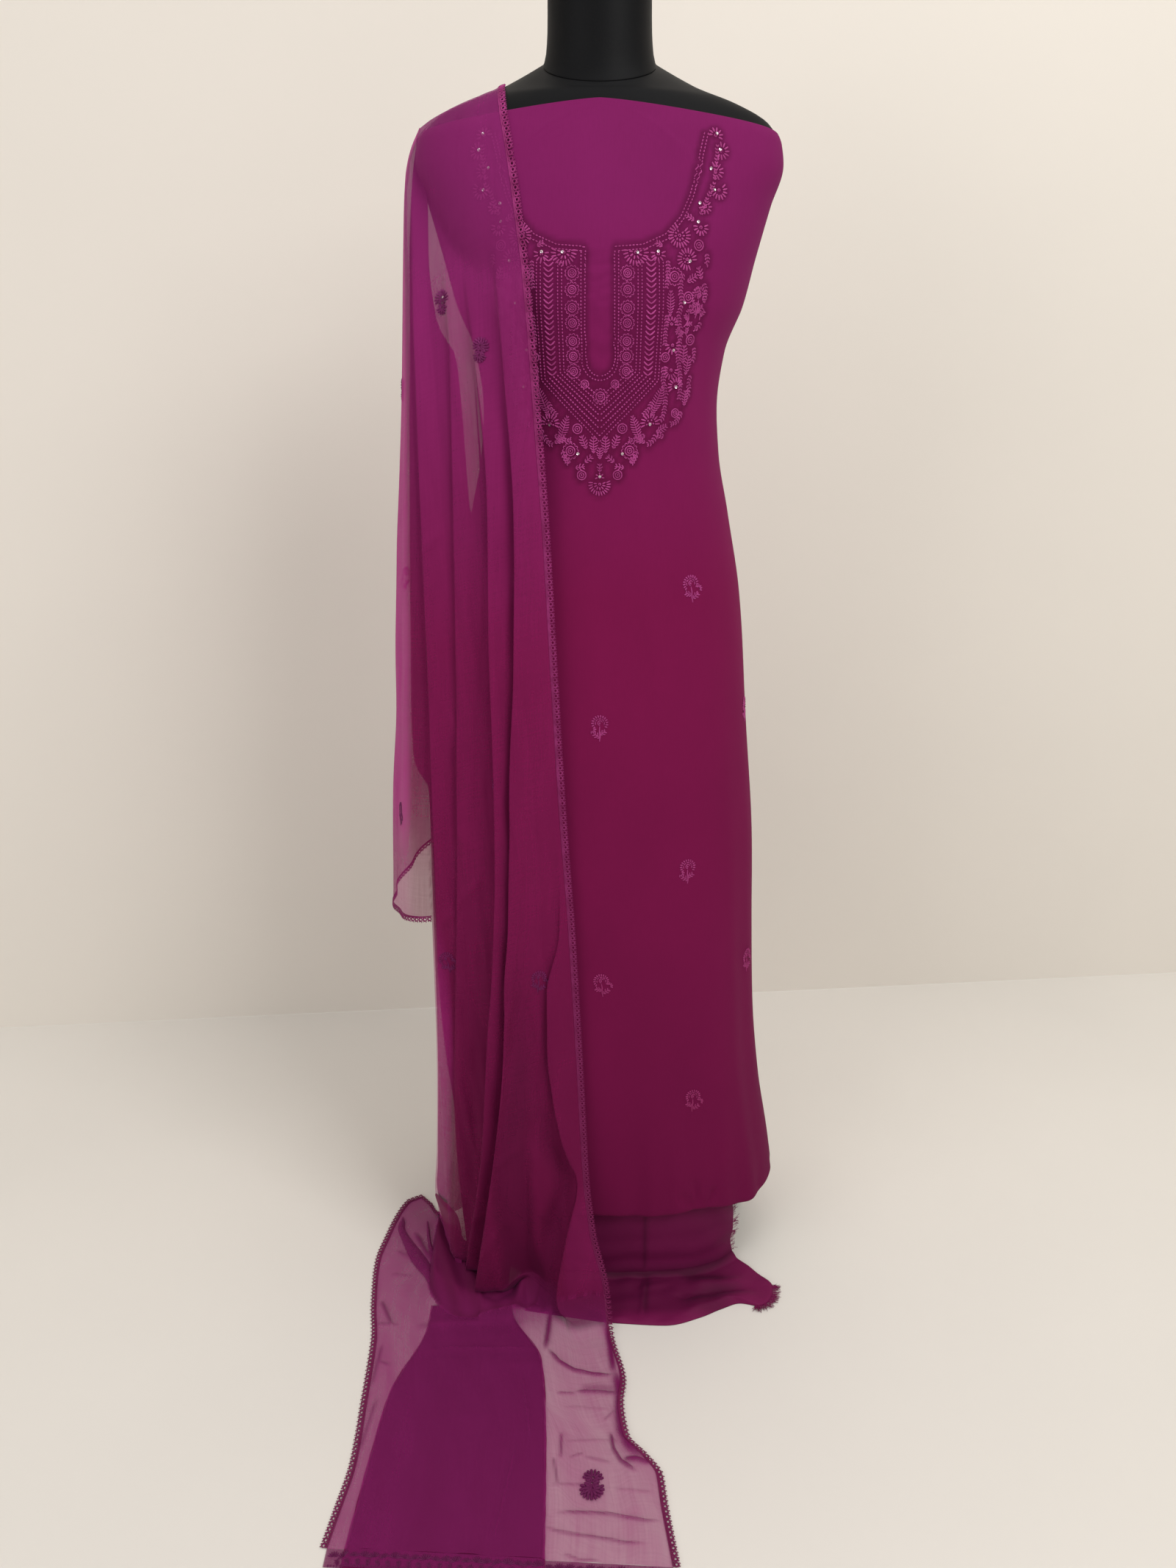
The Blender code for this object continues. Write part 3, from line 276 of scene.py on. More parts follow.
# the doubled strips that lie on the floor beside the foot: points and half widths
Strip = namedtuple("Strip", "x y half")
FLOOR_STRIPS = (
    rows_of(Strip,
        (-2800, -366, 12), (-2790, -560, 50), (-2557, -1025, 80), (-2300, -1420, 90),
        (-2089, -1703, 90), (-1880, -1640, 60),
    ),
    rows_of(Strip,
        (-2440, -450, 10), (-2330, -950, 32), (-2110, -1360, 42), (-1880, -1500, 36),
    ),
)
# where the gathered foot of the front stretch ends on the floor
TOE = rows_of(Edge,
    (-1500, -2310), (-1800, -2210), (-2080, -2020), (-2240, -1800), (-2260, -1640), (-2220, -1460),
    (-2175, -1290), (-2140, -1130), (-2110, -980), (-2060, -820),
)
TOE_HEIGHT = 0.021
# a lit fold from the side stretch's hem down to the foot
TUCK = rows_of(Span,
    (980, -2205, -2030), (850, -2230, -1880), (600, -2210, -1830), (300, -2150, -1830),
    (80, -2080, -1850),
)
FLAP_PATH = rows_of(Edge,
    (-600, -2240), (-350, -2310), (-120, -2420), (70, -2590),
)
FLAP_SHARE = 0.16


# ------------------------------------------------------------------ curves and sections
def smooth(low, high, value):
    """0 below low, 1 above high, and an S curve between."""
    t = np.clip((np.asarray(value, float) - low) / (high - low), 0.0, 1.0)
    return t * t * (3.0 - 2.0 * t)


def unit(vectors):
    return vectors / np.maximum(np.linalg.norm(vectors, axis=-1, keepdims=True), 1e-12)


def scaled_by(share):
    """A factor for points that shrinks their x and y alone."""
    return np.array([share, share, 1.0])


def walk_along(path):
    """The length walked along a path up to each of its points."""
    return np.concatenate([[0.0], np.cumsum(np.linalg.norm(np.diff(path, axis=0), axis=-1))])


def read_at(path, walk, at):
    """Points of a path at the lengths walked."""
    return np.stack([np.interp(at, walk, path[:, k]) for k in range(path.shape[1])], axis=-1)


def curve(xs, ys, at):
    """A smooth curve through the points (xs, ys) that never overshoots them."""
    xs = np.asarray(xs, float)
    ys = np.asarray(ys, float)
    order = np.argsort(xs)
    xs, ys = xs[order], ys[order]
    at = np.clip(np.asarray(at, float), xs[0], xs[-1])
    step = np.diff(xs)
    slope = np.diff(ys) / step
    tangent = np.zeros(len(xs))
    tangent[0], tangent[-1] = slope[0], slope[-1]
    same = slope[:-1] * slope[1:] > 0.0
    tangent[1:-1][same] = 2.0 / (1.0 / slope[:-1][same] + 1.0 / slope[1:][same])
    i = np.clip(np.searchsorted(xs, at, side="right") - 1, 0, len(xs) - 2)
    t = (at - xs[i]) / step[i]
    start = (1 + 2 * t) * (1 - t) ** 2 * ys[i] + t * t * (3 - 2 * t) * ys[i + 1]
    turn = t * (1 - t) ** 2 * tangent[i] - t * t * (1 - t) * tangent[i + 1]
    return start + turn * step[i]


def column(rows, name, at, key="z"):
    """One named column of a table, read at the key's value."""
    return curve([getattr(r, key) for r in rows], [getattr(r, name) for r in rows], at)


def through(points, shares):
    """A smooth path through some points, read at shares of it."""
    walk = np.linspace(0.0, 1.0, len(points))
    return np.stack([curve(walk, values, shares) for values in zip(*points)], axis=-1)


def section(rows, z, places):
    """Points of one rounded section at ring places 0..1, from the centre back by the right."""
    right, left, front, back, square = (column(rows, name, z) for name in Row._fields[1:])
    angle = np.linspace(0.0, 2.0 * math.pi, 1441)
    sine, cosine = np.sin(angle), np.cos(angle)
    x = np.where(sine > 0.0, right, left) * np.sign(sine) * np.abs(sine) ** (2.0 / square)
    y = np.where(cosine > 0.0, back, front) * np.sign(cosine) * np.abs(cosine) ** (2.0 / square)
    ring = np.stack([x, y], axis=-1)
    walk = walk_along(ring)
    middle = walk[len(walk) // 2]
    walk = np.where(walk < middle, walk / middle, 1.0 + (walk - middle) / (walk[-1] - middle)) / 2.0
    return read_at(ring, walk, np.mod(np.asarray(places, float), 1.0))


def level_rings(rows, levels, places):
    """Sections of a hanging cloth, one at each level."""
    rings = [section(rows, level, places) for level in levels]
    height = np.broadcast_to(levels[:, None], (len(levels), len(places)))
    return np.concatenate([np.array(rings), height[..., None]], axis=-1)


def body_grid(rows, levels, places):
    """The form's surface as a grid, level by level."""
    grid = np.zeros((len(levels), len(places), 3))
    for i, level in enumerate(levels):
        flat = section(rows, level, places)
        front, back = column(rows, "front", level), column(rows, "back", level)
        rise = curve([1.30, 1.386, 1.436], [0.0, 0.009, -NECK_SLOPE * front], level)
        back_rise = curve([1.386, 1.436], [0.0, NECK_SLOPE * back], level)
        share = np.where(flat[:, 1] < 0.0, -flat[:, 1] / front * rise, flat[:, 1] / back * back_rise)
        grid[i, :, :2] = flat
        grid[i, :, 2] = level + share
    return grid


def normals(grid):
    """Unit normals of a grid: columns run back, right, front, left; rows run down."""
    return unit(np.cross(np.gradient(grid, axis=1), np.gradient(grid, axis=0)))


def rough(a, b, seed, count=9):
    """Smooth uneven waves over (a, b), about one wave per unit, between -1 and 1."""
    dice = np.random.default_rng(seed)
    total = np.zeros(np.broadcast(a, b).shape)
    for _ in range(count):
        angle = dice.uniform(0.0, math.pi)
        pace = 2.0 * math.pi * dice.uniform(0.55, 1.6)
        phase = dice.uniform(0.0, 2.0 * math.pi)
        total += np.sin((a * math.cos(angle) + b * math.sin(angle)) * pace + phase)
    return total / (0.5 * count) ** 0.5 / 2.0


def crease(a, b, start, end, width):
    """A soft ridge, 1 on the line from start to end, fading over width and at both ends."""
    way = np.subtract(end, start)
    long = float(np.hypot(*way))
    along = ((a - start[0]) * way[0] + (b - start[1]) * way[1]) / long ** 2
    off = np.abs((a - start[0]) * way[1] - (b - start[1]) * way[0]) / long
    taper = smooth(0.0, 0.3, along) * smooth(0.0, 0.3, 1.0 - along)
    return taper * np.exp(-(off / width) ** 2)


def creased(a, b, marks, join=np.add):
    """Straight creases added up, or the strongest of them where join is np.maximum."""
    total = np.zeros_like(a)
    for mark in marks:
        total = join(total, mark.rise * crease(a, b, mark.start, mark.end, mark.width))
    return total


def crease_along(a, b, points, width):
    """A soft ridge along a chain of points, fading over width and at the chain's two ends."""
    points = np.asarray(points, float)
    ways = np.diff(points, axis=0)
    longs = np.hypot(ways[:, 0], ways[:, 1])
    done = 0.0
    best = np.zeros_like(a)
    for start, way, long in zip(points, ways, longs):
        along = np.clip(((a - start[0]) * way[0] + (b - start[1]) * way[1]) / long ** 2, 0.0, 1.0)
        off = np.hypot(a - start[0] - along * way[0], b - start[1] - along * way[1])
        share = (done + along * long) / longs.sum()
        taper = smooth(0.0, 0.22, share) * smooth(0.0, 0.22, 1.0 - share)
        best = np.maximum(best, taper * np.exp(-(off / width) ** 2))
        done += long
    return best


# ------------------------------------------------------------------ meshes
def finished(name, mesh, look, sharp_angle=None):
    made = bpy.data.objects.new(name, mesh)
    bpy.context.scene.collection.objects.link(made)
    mesh.shade_smooth()
    if sharp_angle:
        mesh.set_sharp_from_angle(angle=math.radians(sharp_angle))
    mesh.materials.append(LOOKS[look])
    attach(made, "root")
    return made


def quads(rows, columns, loop=False, shift=0):
    i, j = np.meshgrid(np.arange(rows - 1), np.arange(columns if loop else columns - 1),
                       indexing="ij")
    k = (j + 1) % columns
    corners = [i * columns + j, i * columns + k, (i + 1) * columns + k, (i + 1) * columns + j]
    return np.stack(corners, axis=-1).reshape(-1, 4) + shift


def mesh_from(name, points, faces, uv=None):
    """A mesh from arrays, with its texture coordinates in metres."""
    mesh = bpy.data.meshes.new(name)
    points = np.asarray(points, np.float32).reshape(-1, 3)
    faces = np.asarray(faces, np.int32)
    mesh.vertices.add(len(points))
    mesh.vertices.foreach_set("co", points.ravel())
    mesh.loops.add(faces.size)
    mesh.loops.foreach_set("vertex_index", faces.ravel())
    mesh.polygons.add(len(faces))
    mesh.polygons.foreach_set("loop_start", np.arange(len(faces), dtype=np.int32) * faces.shape[1])
    if uv is not None:
        layer = mesh.uv_layers.new(name="cloth")
        layer.data.foreach_set("uv", np.asarray(uv, np.float32).reshape(-1, 2)[faces.ravel()].ravel())
    mesh.update(calc_edges=True)
    mesh.validate()
    return mesh


def walked(grid):
    """Texture coordinates in metres from the lengths walked along a grid."""
    across = np.cumsum(np.linalg.norm(np.diff(grid, axis=1, prepend=grid[:, :1]), axis=-1), axis=1)
    down = np.cumsum(np.linalg.norm(np.diff(grid, axis=0, prepend=grid[:1]), axis=-1), axis=0)
    across -= across[:, across.shape[1] // 2][:, None]
    return np.stack([across, down], axis=-1)


def welded(made):
    work = bmesh.new()
    work.from_mesh(made.data)
    bmesh.ops.remove_doubles(work, verts=work.verts, dist=0.00002)
    work.to_mesh(made.data)
    work.free()
    made.data.shade_smooth()


def noted(mesh, name, values):
    """Keeps one number per point, for the material to read."""
    kept = mesh.attributes.new(name, "FLOAT", "POINT")
    kept.data.foreach_set("value", np.asarray(values, np.float32).ravel())


def cloth_piece(name, grid, look, node, painted_shading=None):
    """A cloth made from a grid, in the place of the solid that it replaces."""
    mesh = mesh_from(name, grid, quads(*grid.shape[:2]), walked(grid))
    # the kept number is painted shade, and painted light where it is below 0
    if painted_shading is not None:
        noted(mesh, "painted_shading", painted_shading)
    made = finished(name, mesh, look)
    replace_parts(made, node)
    return made


def joined(grids, loop=False):
    """Points and faces of several grids in one mesh."""
    points, faces, shift = [], [], 0
    for grid in grids:
        rows, columns = grid.shape[:2]
        points.append(grid.reshape(-1, 3))
        faces.append(quads(rows, columns, loop, shift))
        shift += rows * columns
    return np.concatenate(points), np.concatenate(faces)


def tree_of(*grids):
    points, faces = joined(grids)
    return BVHTree.FromPolygons([Vector(p) for p in points], faces.tolist())


def held_off(grid, tree, clearance):
    """Points of a grid moved out until they clear the surface in the tree."""
    flat = grid.reshape(-1, 3).copy()
    for k, point in enumerate(flat):
        near, normal, _, _ = tree.find_nearest(Vector(point), HOLD_REACH)
        if near is None:
            continue
        normal, near = np.array(normal), np.array(near)
        if normal @ (near * LEVEL if near[2] < SHOULDER_Z else UP) < 0.0:
            normal = -normal
        away = point - near
        depth = away @ normal
        if depth < clearance and np.linalg.norm(away - depth * normal) < 0.0015:
            flat[k] = point + normal * (clearance - depth)
    return flat.reshape(grid.shape)


def clear_of(grid, bodies, sign):
    """A hanging stretch moved off the form and off the kameez, on its own side of the ridge."""
    for tree in bodies:
        grid = held_off(grid, tree, SHEER_OFF)
    middle = grid[0].copy()
    grid[..., 1] = sign * np.maximum(sign * grid[..., 1], 0.0008)
    middle[:, 1] = 0.0
    grid[0] = middle
    return grid


# ------------------------------------------------------------------ materials
class Nodes:
    """A material under construction: each call adds one node and links its inputs."""

    def __init__(self, name):
        self.material = bpy.data.materials.new(name)
        self.material.use_nodes = True
        self.tree = self.material.node_tree
        self.shader = self.tree.nodes["Principled BSDF"]
        places = self.add("ShaderNodeTexCoord").outputs
        self.uv, self.place = places["UV"], places["Object"]

    def plug(self, socket, value):
        """Links another node's socket, and sets anything else as it is."""
        if isinstance(value, bpy.types.NodeSocket):
            self.tree.links.new(value, socket)
        else:
            socket.default_value = value

    def add(self, kind, settings=None, **inputs):
        node = self.tree.nodes.new(kind)
        for key, value in (settings or {}).items():
            setattr(node, key, value)
        for key, value in inputs.items():
            self.plug(node.inputs[key.replace("_", " ")], value)
        return node

    def set(self, **inputs):
        for key, value in inputs.items():
            self.plug(self.shader.inputs[key.replace("_", " ")], value)

    def math(self, operation, first, second=0.0):
        node = self.add("ShaderNodeMath", {"operation": operation})
        self.plug(node.inputs[0], first)
        self.plug(node.inputs[1], second)
        return node.outputs[0]

    def times(self, value, factor):
        return self.math("MULTIPLY", value, factor)

    def positive(self, value, factor):
        return self.math("MAXIMUM", self.times(value, factor), 0.0)

    def added(self, first, *others):
        for other in others:
            first = self.math("ADD", first, other)
        return first

    def blend(self, share, low, high):
        """A colour between two colours."""
        node = self.add("ShaderNodeMix", {"data_type": "RGBA"})
        for index, value in ((0, share), (6, low), (7, high)):
            self.plug(node.inputs[index], (*value, 1.0) if isinstance(value, tuple) else value)
        return node.outputs[2]

    def noise(self, vector, scale, detail=2.0):
        return self.add("ShaderNodeTexNoise", Vector=vector, Scale=scale, Detail=detail).outputs["Fac"]

    def streaks(self, across, down, detail):
        """Noise that repeats so many times a metre across the cloth and down it."""
        stretched = self.add("ShaderNodeMapping", Vector=self.uv, Scale=(across, down, across))
        return self.noise(stretched.outputs[0], 1.0, detail)

    def range(self, value, low, high, to_low=0.0, to_high=1.0):
        return self.add("ShaderNodeMapRange", Value=value, From_Min=low, From_Max=high,
                        To_Min=to_low, To_Max=to_high).outputs[0]

    def height(self):
        return self.add("ShaderNodeSeparateXYZ", Vector=self.place).outputs["Z"]

    def marked(self, name):
        """The number that is kept on the mesh's points under this name."""
        return self.add("ShaderNodeAttribute", {"attribute_name": name}).outputs["Fac"]

    def bump(self, height, strength, distance):
        node = self.add("ShaderNodeBump", Height=height, Strength=strength, Distance=distance)
        self.set(Normal=node.outputs[0])


def weave(made, threads):
    """Height of a plain weave with so many threads a metre each way."""
    split = made.add("ShaderNodeSeparateXYZ", Vector=made.uv)
    across, down = (made.math("SINE", made.times(split.outputs[axis], threads * 2.0 * math.pi))
                    for axis in "XY")
    return made.times(across, down)


def plum_cloth(name, tones, grain, threads, roughness, depth):
    """Plum cloth: its colour runs from low to top as painted light, is painted darker as shade where its
    points are marked, and has slubs and crepe grain in the weave.
    """
    made = Nodes(name)
    low, middle, top = tones
    # painted light: the tones change with height as more or less light and sheen fall on the cloth
    height = made.height()
    base = made.blend(made.range(height, 0.10, 0.85), low, middle)
    base = made.blend(made.range(height, 0.90, 1.30), base, top)
    mottled = made.range(made.streaks(9.0, 5.0, 3.0), 0.3, 0.7, 0.0, 0.12)
    slubs = made.range(made.streaks(900.0, 60.0, 1.0), 0.35, 0.75, 0.0, 0.06)
    # the kept number is painted shade, darkening creases, folds and cloth near stitches towards darker
    shade = made.added(mottled, slubs, made.times(made.marked("painted_shading"), 0.9))
    shade = made.math("MINIMUM", made.math("MAXIMUM", shade, 0.0), 1.0)
    darker = tuple(c * 0.40 for c in low)
    made.set(Base_Color=made.blend(shade, base, darker), Roughness=roughness, Sheen_Weight=0.05,
             Sheen_Roughness=0.45, Sheen_Tint=(0.80, 0.20, 0.60, 1.0), Specular_IOR_Level=0.10)
    crepe = made.noise(made.uv, grain, 3.0)
    made.bump(made.added(crepe, made.times(weave(made, threads), 0.35)), 0.35, depth)
    return made.material


def chiffon_look(name, cover):
    """Sheer crinkled chiffon: see-through between the threads, denser along fine crinkles; its tone is
    painted lighter towards the top and on the floor as light, and the kept number paints shade into it above
    0 and light below 0.
    """
    made = Nodes(name)
    height = made.height()
    # painted light: lighter and bluer towards the top, and lighter on the floor where light comes up through
    # it
    tone = made.blend(made.range(height, 0.008, 0.040), CHIFFON_FLOOR, CHIFFON_LOW)
    tone = made.blend(made.range(height, 0.20, 0.85), tone, CHIFFON_MIDDLE)
    tone = made.blend(made.range(height, 0.85, 1.30), tone, CHIFFON_TOP)
    # painted shade above 0 and painted light below 0
    painted_shading = made.marked("painted_shading")
    tone = made.blend(made.positive(painted_shading, 0.70), tone, CHIFFON_PAINTED_SHADE)
    tone = made.blend(made.positive(painted_shading, -1.0), tone, CHIFFON_PAINTED_LIGHT)
    streak = made.streaks(420.0, 16.0, 2.0)
    cross = made.streaks(18.0, 420.0, 2.0)
    patchy = made.streaks(30.0, 7.0, 3.0)
    dense = made.added(made.range(streak, 0.35, 0.75, 0.0, 0.06),
                       made.range(cross, 0.35, 0.75, 0.0, 0.045),
                       made.range(patchy, 0.3, 0.7, cover - 0.07, cover + 0.03),
                       made.positive(painted_shading, 0.16))
    dense = made.math("SUBTRACT", dense, made.times(made.marked("thin"), 0.23))
    made.set(Base_Color=tone, Alpha=made.math("MINIMUM", dense, 1.0), Roughness=0.8,
             Sheen_Weight=0.06, Sheen_Roughness=0.4, Sheen_Tint=(0.85, 0.30, 0.70, 1.0),
             Specular_IOR_Level=0.12)
    made.bump(made.added(made.noise(made.uv, 420.0, 3.0), streak), 0.2, 0.0003)
    return made.material


def thread_look(name, light, dark, low, roughness=0.6, bright_from=1.1):
    """Twisted cotton thread in random patches of tone, painted a little darker lower down as shade."""
    made = Nodes(name)
    patch = made.range(made.noise(made.place, 90.0), 0.35, 0.65)
    # painted shade: below bright_from the thread is drawn towards its low colour
    share = made.range(made.height(), 0.2, bright_from, 0.85, 0.0)
    made.set(Base_Color=made.blend(share, made.blend(patch, dark, light), low), Roughness=roughness,
             Sheen_Weight=0.03, Sheen_Roughness=0.35, Sheen_Tint=(0.9, 0.2, 0.6, 1.0),
             Specular_IOR_Level=0.20)
    made.bump(made.noise(made.place, 2600.0, 1.0), 0.4, 0.0002)
    return made.material


def metal_look(name, colour, roughness, metallic):
    made = Nodes(name)
    scuff = made.noise(made.place, 45.0, 4.0)
    made.set(Base_Color=(*colour, 1.0), Metallic=metallic,
             Roughness=made.range(scuff, 0.3, 0.7, roughness * 0.8, roughness * 1.25))
    return made.material


def form_look():
    """Matt black moulding with faint scuffs and dust."""
    made = Nodes("form black")
    dust = made.noise(made.place, 9.0, 6.0)
    dusty = made.added(made.range(dust, 0.45, 0.75, 0.0, 0.35),
                       made.range(made.noise(made.place, 320.0), 0.66, 0.80, 0.0, 0.25))
    made.set(Base_Color=made.blend(dusty, (0.0050, 0.0052, 0.0060), (0.0110, 0.0110, 0.0120)),
             Roughness=made.range(dust, 0.3, 0.7, 0.50, 0.64), Specular_IOR_Level=0.09)
    made.bump(made.noise(made.place, 900.0), 0.25, 0.0003)
    return made.material


def plain_look(name, colour, roughness, variation):
    made = Nodes(name)
    darker = tuple(c * (1.0 - variation) for c in colour)
    cloud = made.range(made.noise(made.place, 1.3, 3.0), 0.3, 0.7)
    made.set(Base_Color=made.blend(cloud, colour, darker), Roughness=roughness)
    return made.material


# chiffon tones: lighter towards the top and on the floor as painted light; the last two are the painted shade
# and painted light colours
CHIFFON_TOP = (0.280, 0.0190, 0.158)
CHIFFON_MIDDLE = (0.222, 0.0076, 0.082)
CHIFFON_LOW = (0.162, 0.0048, 0.056)
CHIFFON_FLOOR = (0.190, 0.0095, 0.100)
CHIFFON_PAINTED_SHADE = (0.080, 0.0022, 0.030)
CHIFFON_PAINTED_LIGHT = (0.460, 0.0280, 0.240)
# low, middle and top tones with painted light: the georgette lighter and bluer towards the top where light
# and sheen fall, the plain weave lighter low down where its pool on the floor is lit
GEORGETTE_TONES_WITH_PAINTED_LIGHT = ((0.135, 0.0035, 0.046), (0.186, 0.0055, 0.062), (0.196, 0.0105, 0.102))
PLAIN_WEAVE_TONES_WITH_PAINTED_LIGHT = ((0.165, 0.0075, 0.066), (0.120, 0.0045, 0.043), (0.110, 0.0040, 0.040))
LOOKS = {
    "kameez": plum_cloth("georgette", GEORGETTE_TONES_WITH_PAINTED_LIGHT, 1500.0, 1900.0, 0.88, 0.00030),
    "salwar": plum_cloth("smooth weave", PLAIN_WEAVE_TONES_WITH_PAINTED_LIGHT, 2400.0, 2300.0, 0.60, 0.00016),
    "chiffon": chiffon_look("chiffon", 0.73),
    "doubled chiffon": chiffon_look("doubled chiffon", 0.88),
    "thread": thread_look("embroidery thread", (0.430, 0.058, 0.255), (0.310, 0.033, 0.170),
                          (0.250, 0.016, 0.090)),
    "sheer thread": thread_look("dupatta thread", (0.200, 0.016, 0.125), (0.130, 0.009, 0.075),
                                (0.110, 0.007, 0.062)),
    "lace": thread_look("lace thread", (0.350, 0.035, 0.190), (0.215, 0.014, 0.104),
                        (0.140, 0.007, 0.056), 0.7, bright_from=1.45),
    "sequin": metal_look("sequin", (0.74, 0.60, 0.66), 0.26, 1.0),
    "form": form_look(),
    "stand": metal_look("stand paint", (0.012, 0.012, 0.013), 0.38, 0.4),
}


# ------------------------------------------------------------------ dress form
NECK_STEPS = (    # height above the shoulder seam and width, as shares
    (-0.004, 0.990), (0.004, 1.004), (0.012, 1.004), (0.022, 0.992), (0.10, 0.955), (0.19, 0.936),
    (0.28, 0.925), (0.41, 0.918), (0.55, 0.915), (0.78, 0.909), (0.99, 0.905), (1.0, 0.893), (1.0, 0.60),
)


def build_form():
    levels = np.concatenate([np.linspace(FORM_TOP, 1.30, 40), np.linspace(1.296, FORM_FOOT, 60)])
    grid = body_grid(FORM_ROWS, levels, np.arange(FORM_SIDES) / FORM_SIDES)
    below = grid[-1:] * scaled_by(0.965) - 0.0005 * UP
    points = np.concatenate([grid, below, below * scaled_by(0.2)])
    mesh = mesh_from("form_bust_look", points, quads(len(points), FORM_SIDES, loop=True))
    bust = finished("form_bust_look", mesh, "form", 40)
    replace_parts(bust, "form_bust")

    rings = []
    for share, scale in NECK_STEPS:
        ring = grid[0] * scaled_by(scale)
        ring[:, 2] = (1.0 - share) * (grid[0][:, 2] + 0.0003) + share * NECK_TOP
        rings.append(ring)
    mesh = mesh_from("form_neck_look", np.array(rings), quads(len(rings), FORM_SIDES, loop=True))
    neck = finished("form_neck_look", mesh, "form", 35)
    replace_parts(neck, "form_neck")
    for node, look in (("stand_pole", "stand"), ("stand_base", "stand"), ("neck_cap", "form")):
        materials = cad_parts[node].data.materials
        materials.clear()
        materials.append(LOOKS[look])
    return grid


# ------------------------------------------------------------------ kameez
TOP_EDGE = (     # the turned top edge: how far behind the face, and how far below its top
    (0.0012, 0.012), (0.0012, 0.004), (0.0011, -0.0004), (0.0005, -0.0008),
)
KAMEEZ_CREASES = rows_of(Mark,
    ((300, 11300), (850, 6000), 11, 120), ((-200, 10400), (200, 4000), 10, 150),
    ((700, 5500), (1100, 1600), -12, 180), ((1280, 1120), (980, 1500), -30, 32),
    ((1320, 1120), (1200, 1650), -30, 32), ((1380, 1120), (1520, 1500), -30, 32),
)
SLACK_PLACES = ((-0.072, 0.050), (0.085, 0.045))    # creases that sag under the top edge: x, spread
SLACK_DROPS = (0.006, 0.0125, 0.020, 0.029)
SLACK_RISE = 0.0013
SLACK_WIDE = 0.0019
PUCKER_RISE = 0.00085       # of the plain cloth inside the placket
PUCKER_PITCH = 0.0062


def lowered(levels, places):
    """The form's surface under the kameez, its rows dipping at the sides near the top edge."""
    dense = np.linspace(levels[0], levels[-1], 240)
    bare = body_grid(FORM_ROWS, dense, places)
    dip = TOP_DIP * np.abs(np.sin(2.0 * math.pi * places)) ** 1.3
    z = levels[:, None] - dip[None, :] * smooth(1.280, levels[0], levels)[:, None]
    return np.stack([read_at(bare[:, j], -dense, -z[:, j]) for j in range(len(places))], axis=1)


def kameez_surface():
    """The kameez's outer face: its places and grid, with every crease that it has."""
    places = np.arange(int(KAMEEZ_SIDES * (1.0 + LAP_SHARE)) + 1) / KAMEEZ_SIDES
    contact = np.concatenate([np.linspace(KAMEEZ_TOP, 1.352, 18), np.linspace(1.3485, FREE_TOP, 40)])
    free = np.linspace(FREE_TOP, HEM_Z, 196)[1:]
    touching = lowered(contact, places)
    grid = np.concatenate([touching + normals(touching) * CLOTH_OFF,
                           level_rings(KAMEEZ_ROWS, free, places)])
    level = np.broadcast_to(np.concatenate([contact, free])[:, None], grid.shape[:2])
    around = np.broadcast_to(np.mod(places, 1.0), grid.shape[:2])
    out = normals(grid)
    flat_out = unit(out * LEVEL)
    stand = np.zeros_like(level)
    for trough in KAMEEZ_TROUGHS:
        away = np.clip(np.abs(around - trough.place) / trough.width, 0.0, 1.0)
        shape = np.cos(away * math.pi / 2.0) ** 2
        stand -= trough.depth * shape * smooth(0.0, 1.0, (trough.start - level) / trough.start)
    stand = stand + hung_unevenness(grid[..., 0], grid[..., 2], around, level)
    grid = grid + flat_out * stand[..., None]
    return places, grid + out * (LAP_RISE * smooth(0.975, 1.0, places))[None, :, None], flat_out


def hung_unevenness(x, z, around, level):
    """Small creases of the hung kameez cloth: slack under the top edge, the placket, the hem."""
    front = smooth(0.26, 0.30, around) * smooth(0.26, 0.30, 1.0 - around)
    below = 1.392 - z - 0.10 * x * x / 0.02
    total = 0.0007 * rough(x * 7.0, z * 3.0, 5) * smooth(0.0, 0.08, below)
    for side, spread in SLACK_PLACES:
        near = np.exp(-((x - side) / spread) ** 2)
        for k, drop in enumerate(SLACK_DROPS):
            sag = drop + 0.006 * np.cos((x - side) / spread * 1.2) - 0.004
            total += SLACK_RISE * near * np.exp(-((below - sag) / SLACK_WIDE) ** 2) * front * (1.0 - 0.18 * k)
    strip = smooth(0.018, 0.012, np.abs(x)) * smooth(1.135, 1.146, z) * smooth(1.262, 1.252, z) * front
    uneven = 2.2 * rough(x * 40.0, z * 30.0, 8)
    total += PUCKER_RISE * strip * np.sin(z * 2 * math.pi / PUCKER_PITCH + uneven)
    beside = smooth(1.02, 1.12, z) * smooth(1.28, 1.18, z)
    total -= 0.0012 * front * np.exp(-((x - 0.106) / 0.010) ** 2) * beside
    total += 0.0016 * smooth(0.30, 0.12, level) * rough(around * 26.0, level * 2.0, 12)
    return total + front * creased(x, z, KAMEEZ_CREASES)


def build_kameez():
    places, grid, flat_out = kameez_surface()
    out = normals(grid)
    top = [grid[:1] - out[:1] * depth - UP * drop for depth, drop in TOP_EDGE]
    rolled = []
    for degrees in (25, 50, 75, 100, 125, 150, 180):
        angle = math.radians(degrees)
        point = grid[-1] - flat_out[-1] * HEM_ROLL * (1.0 - math.cos(angle))
        rolled.append((point - UP * HEM_ROLL * math.sin(angle))[None])
    rolled += [rolled[-1] + UP * HEM_TURN * rise for rise in (0.5, 1.0)]
    whole = np.concatenate(top + [grid] + rolled)
    sag = 0.003 * rough(places * 9.0, places * 0.0, 21) - 0.002 * smooth(0.22, 0.30, places)
    whole[..., 2] += np.maximum(sag, -0.0045) * smooth(0.26, HEM_Z, whole[..., 2])
    made = cloth_piece("kameez_look", whole, "kameez", "kameez_cloth")
    return grid, made


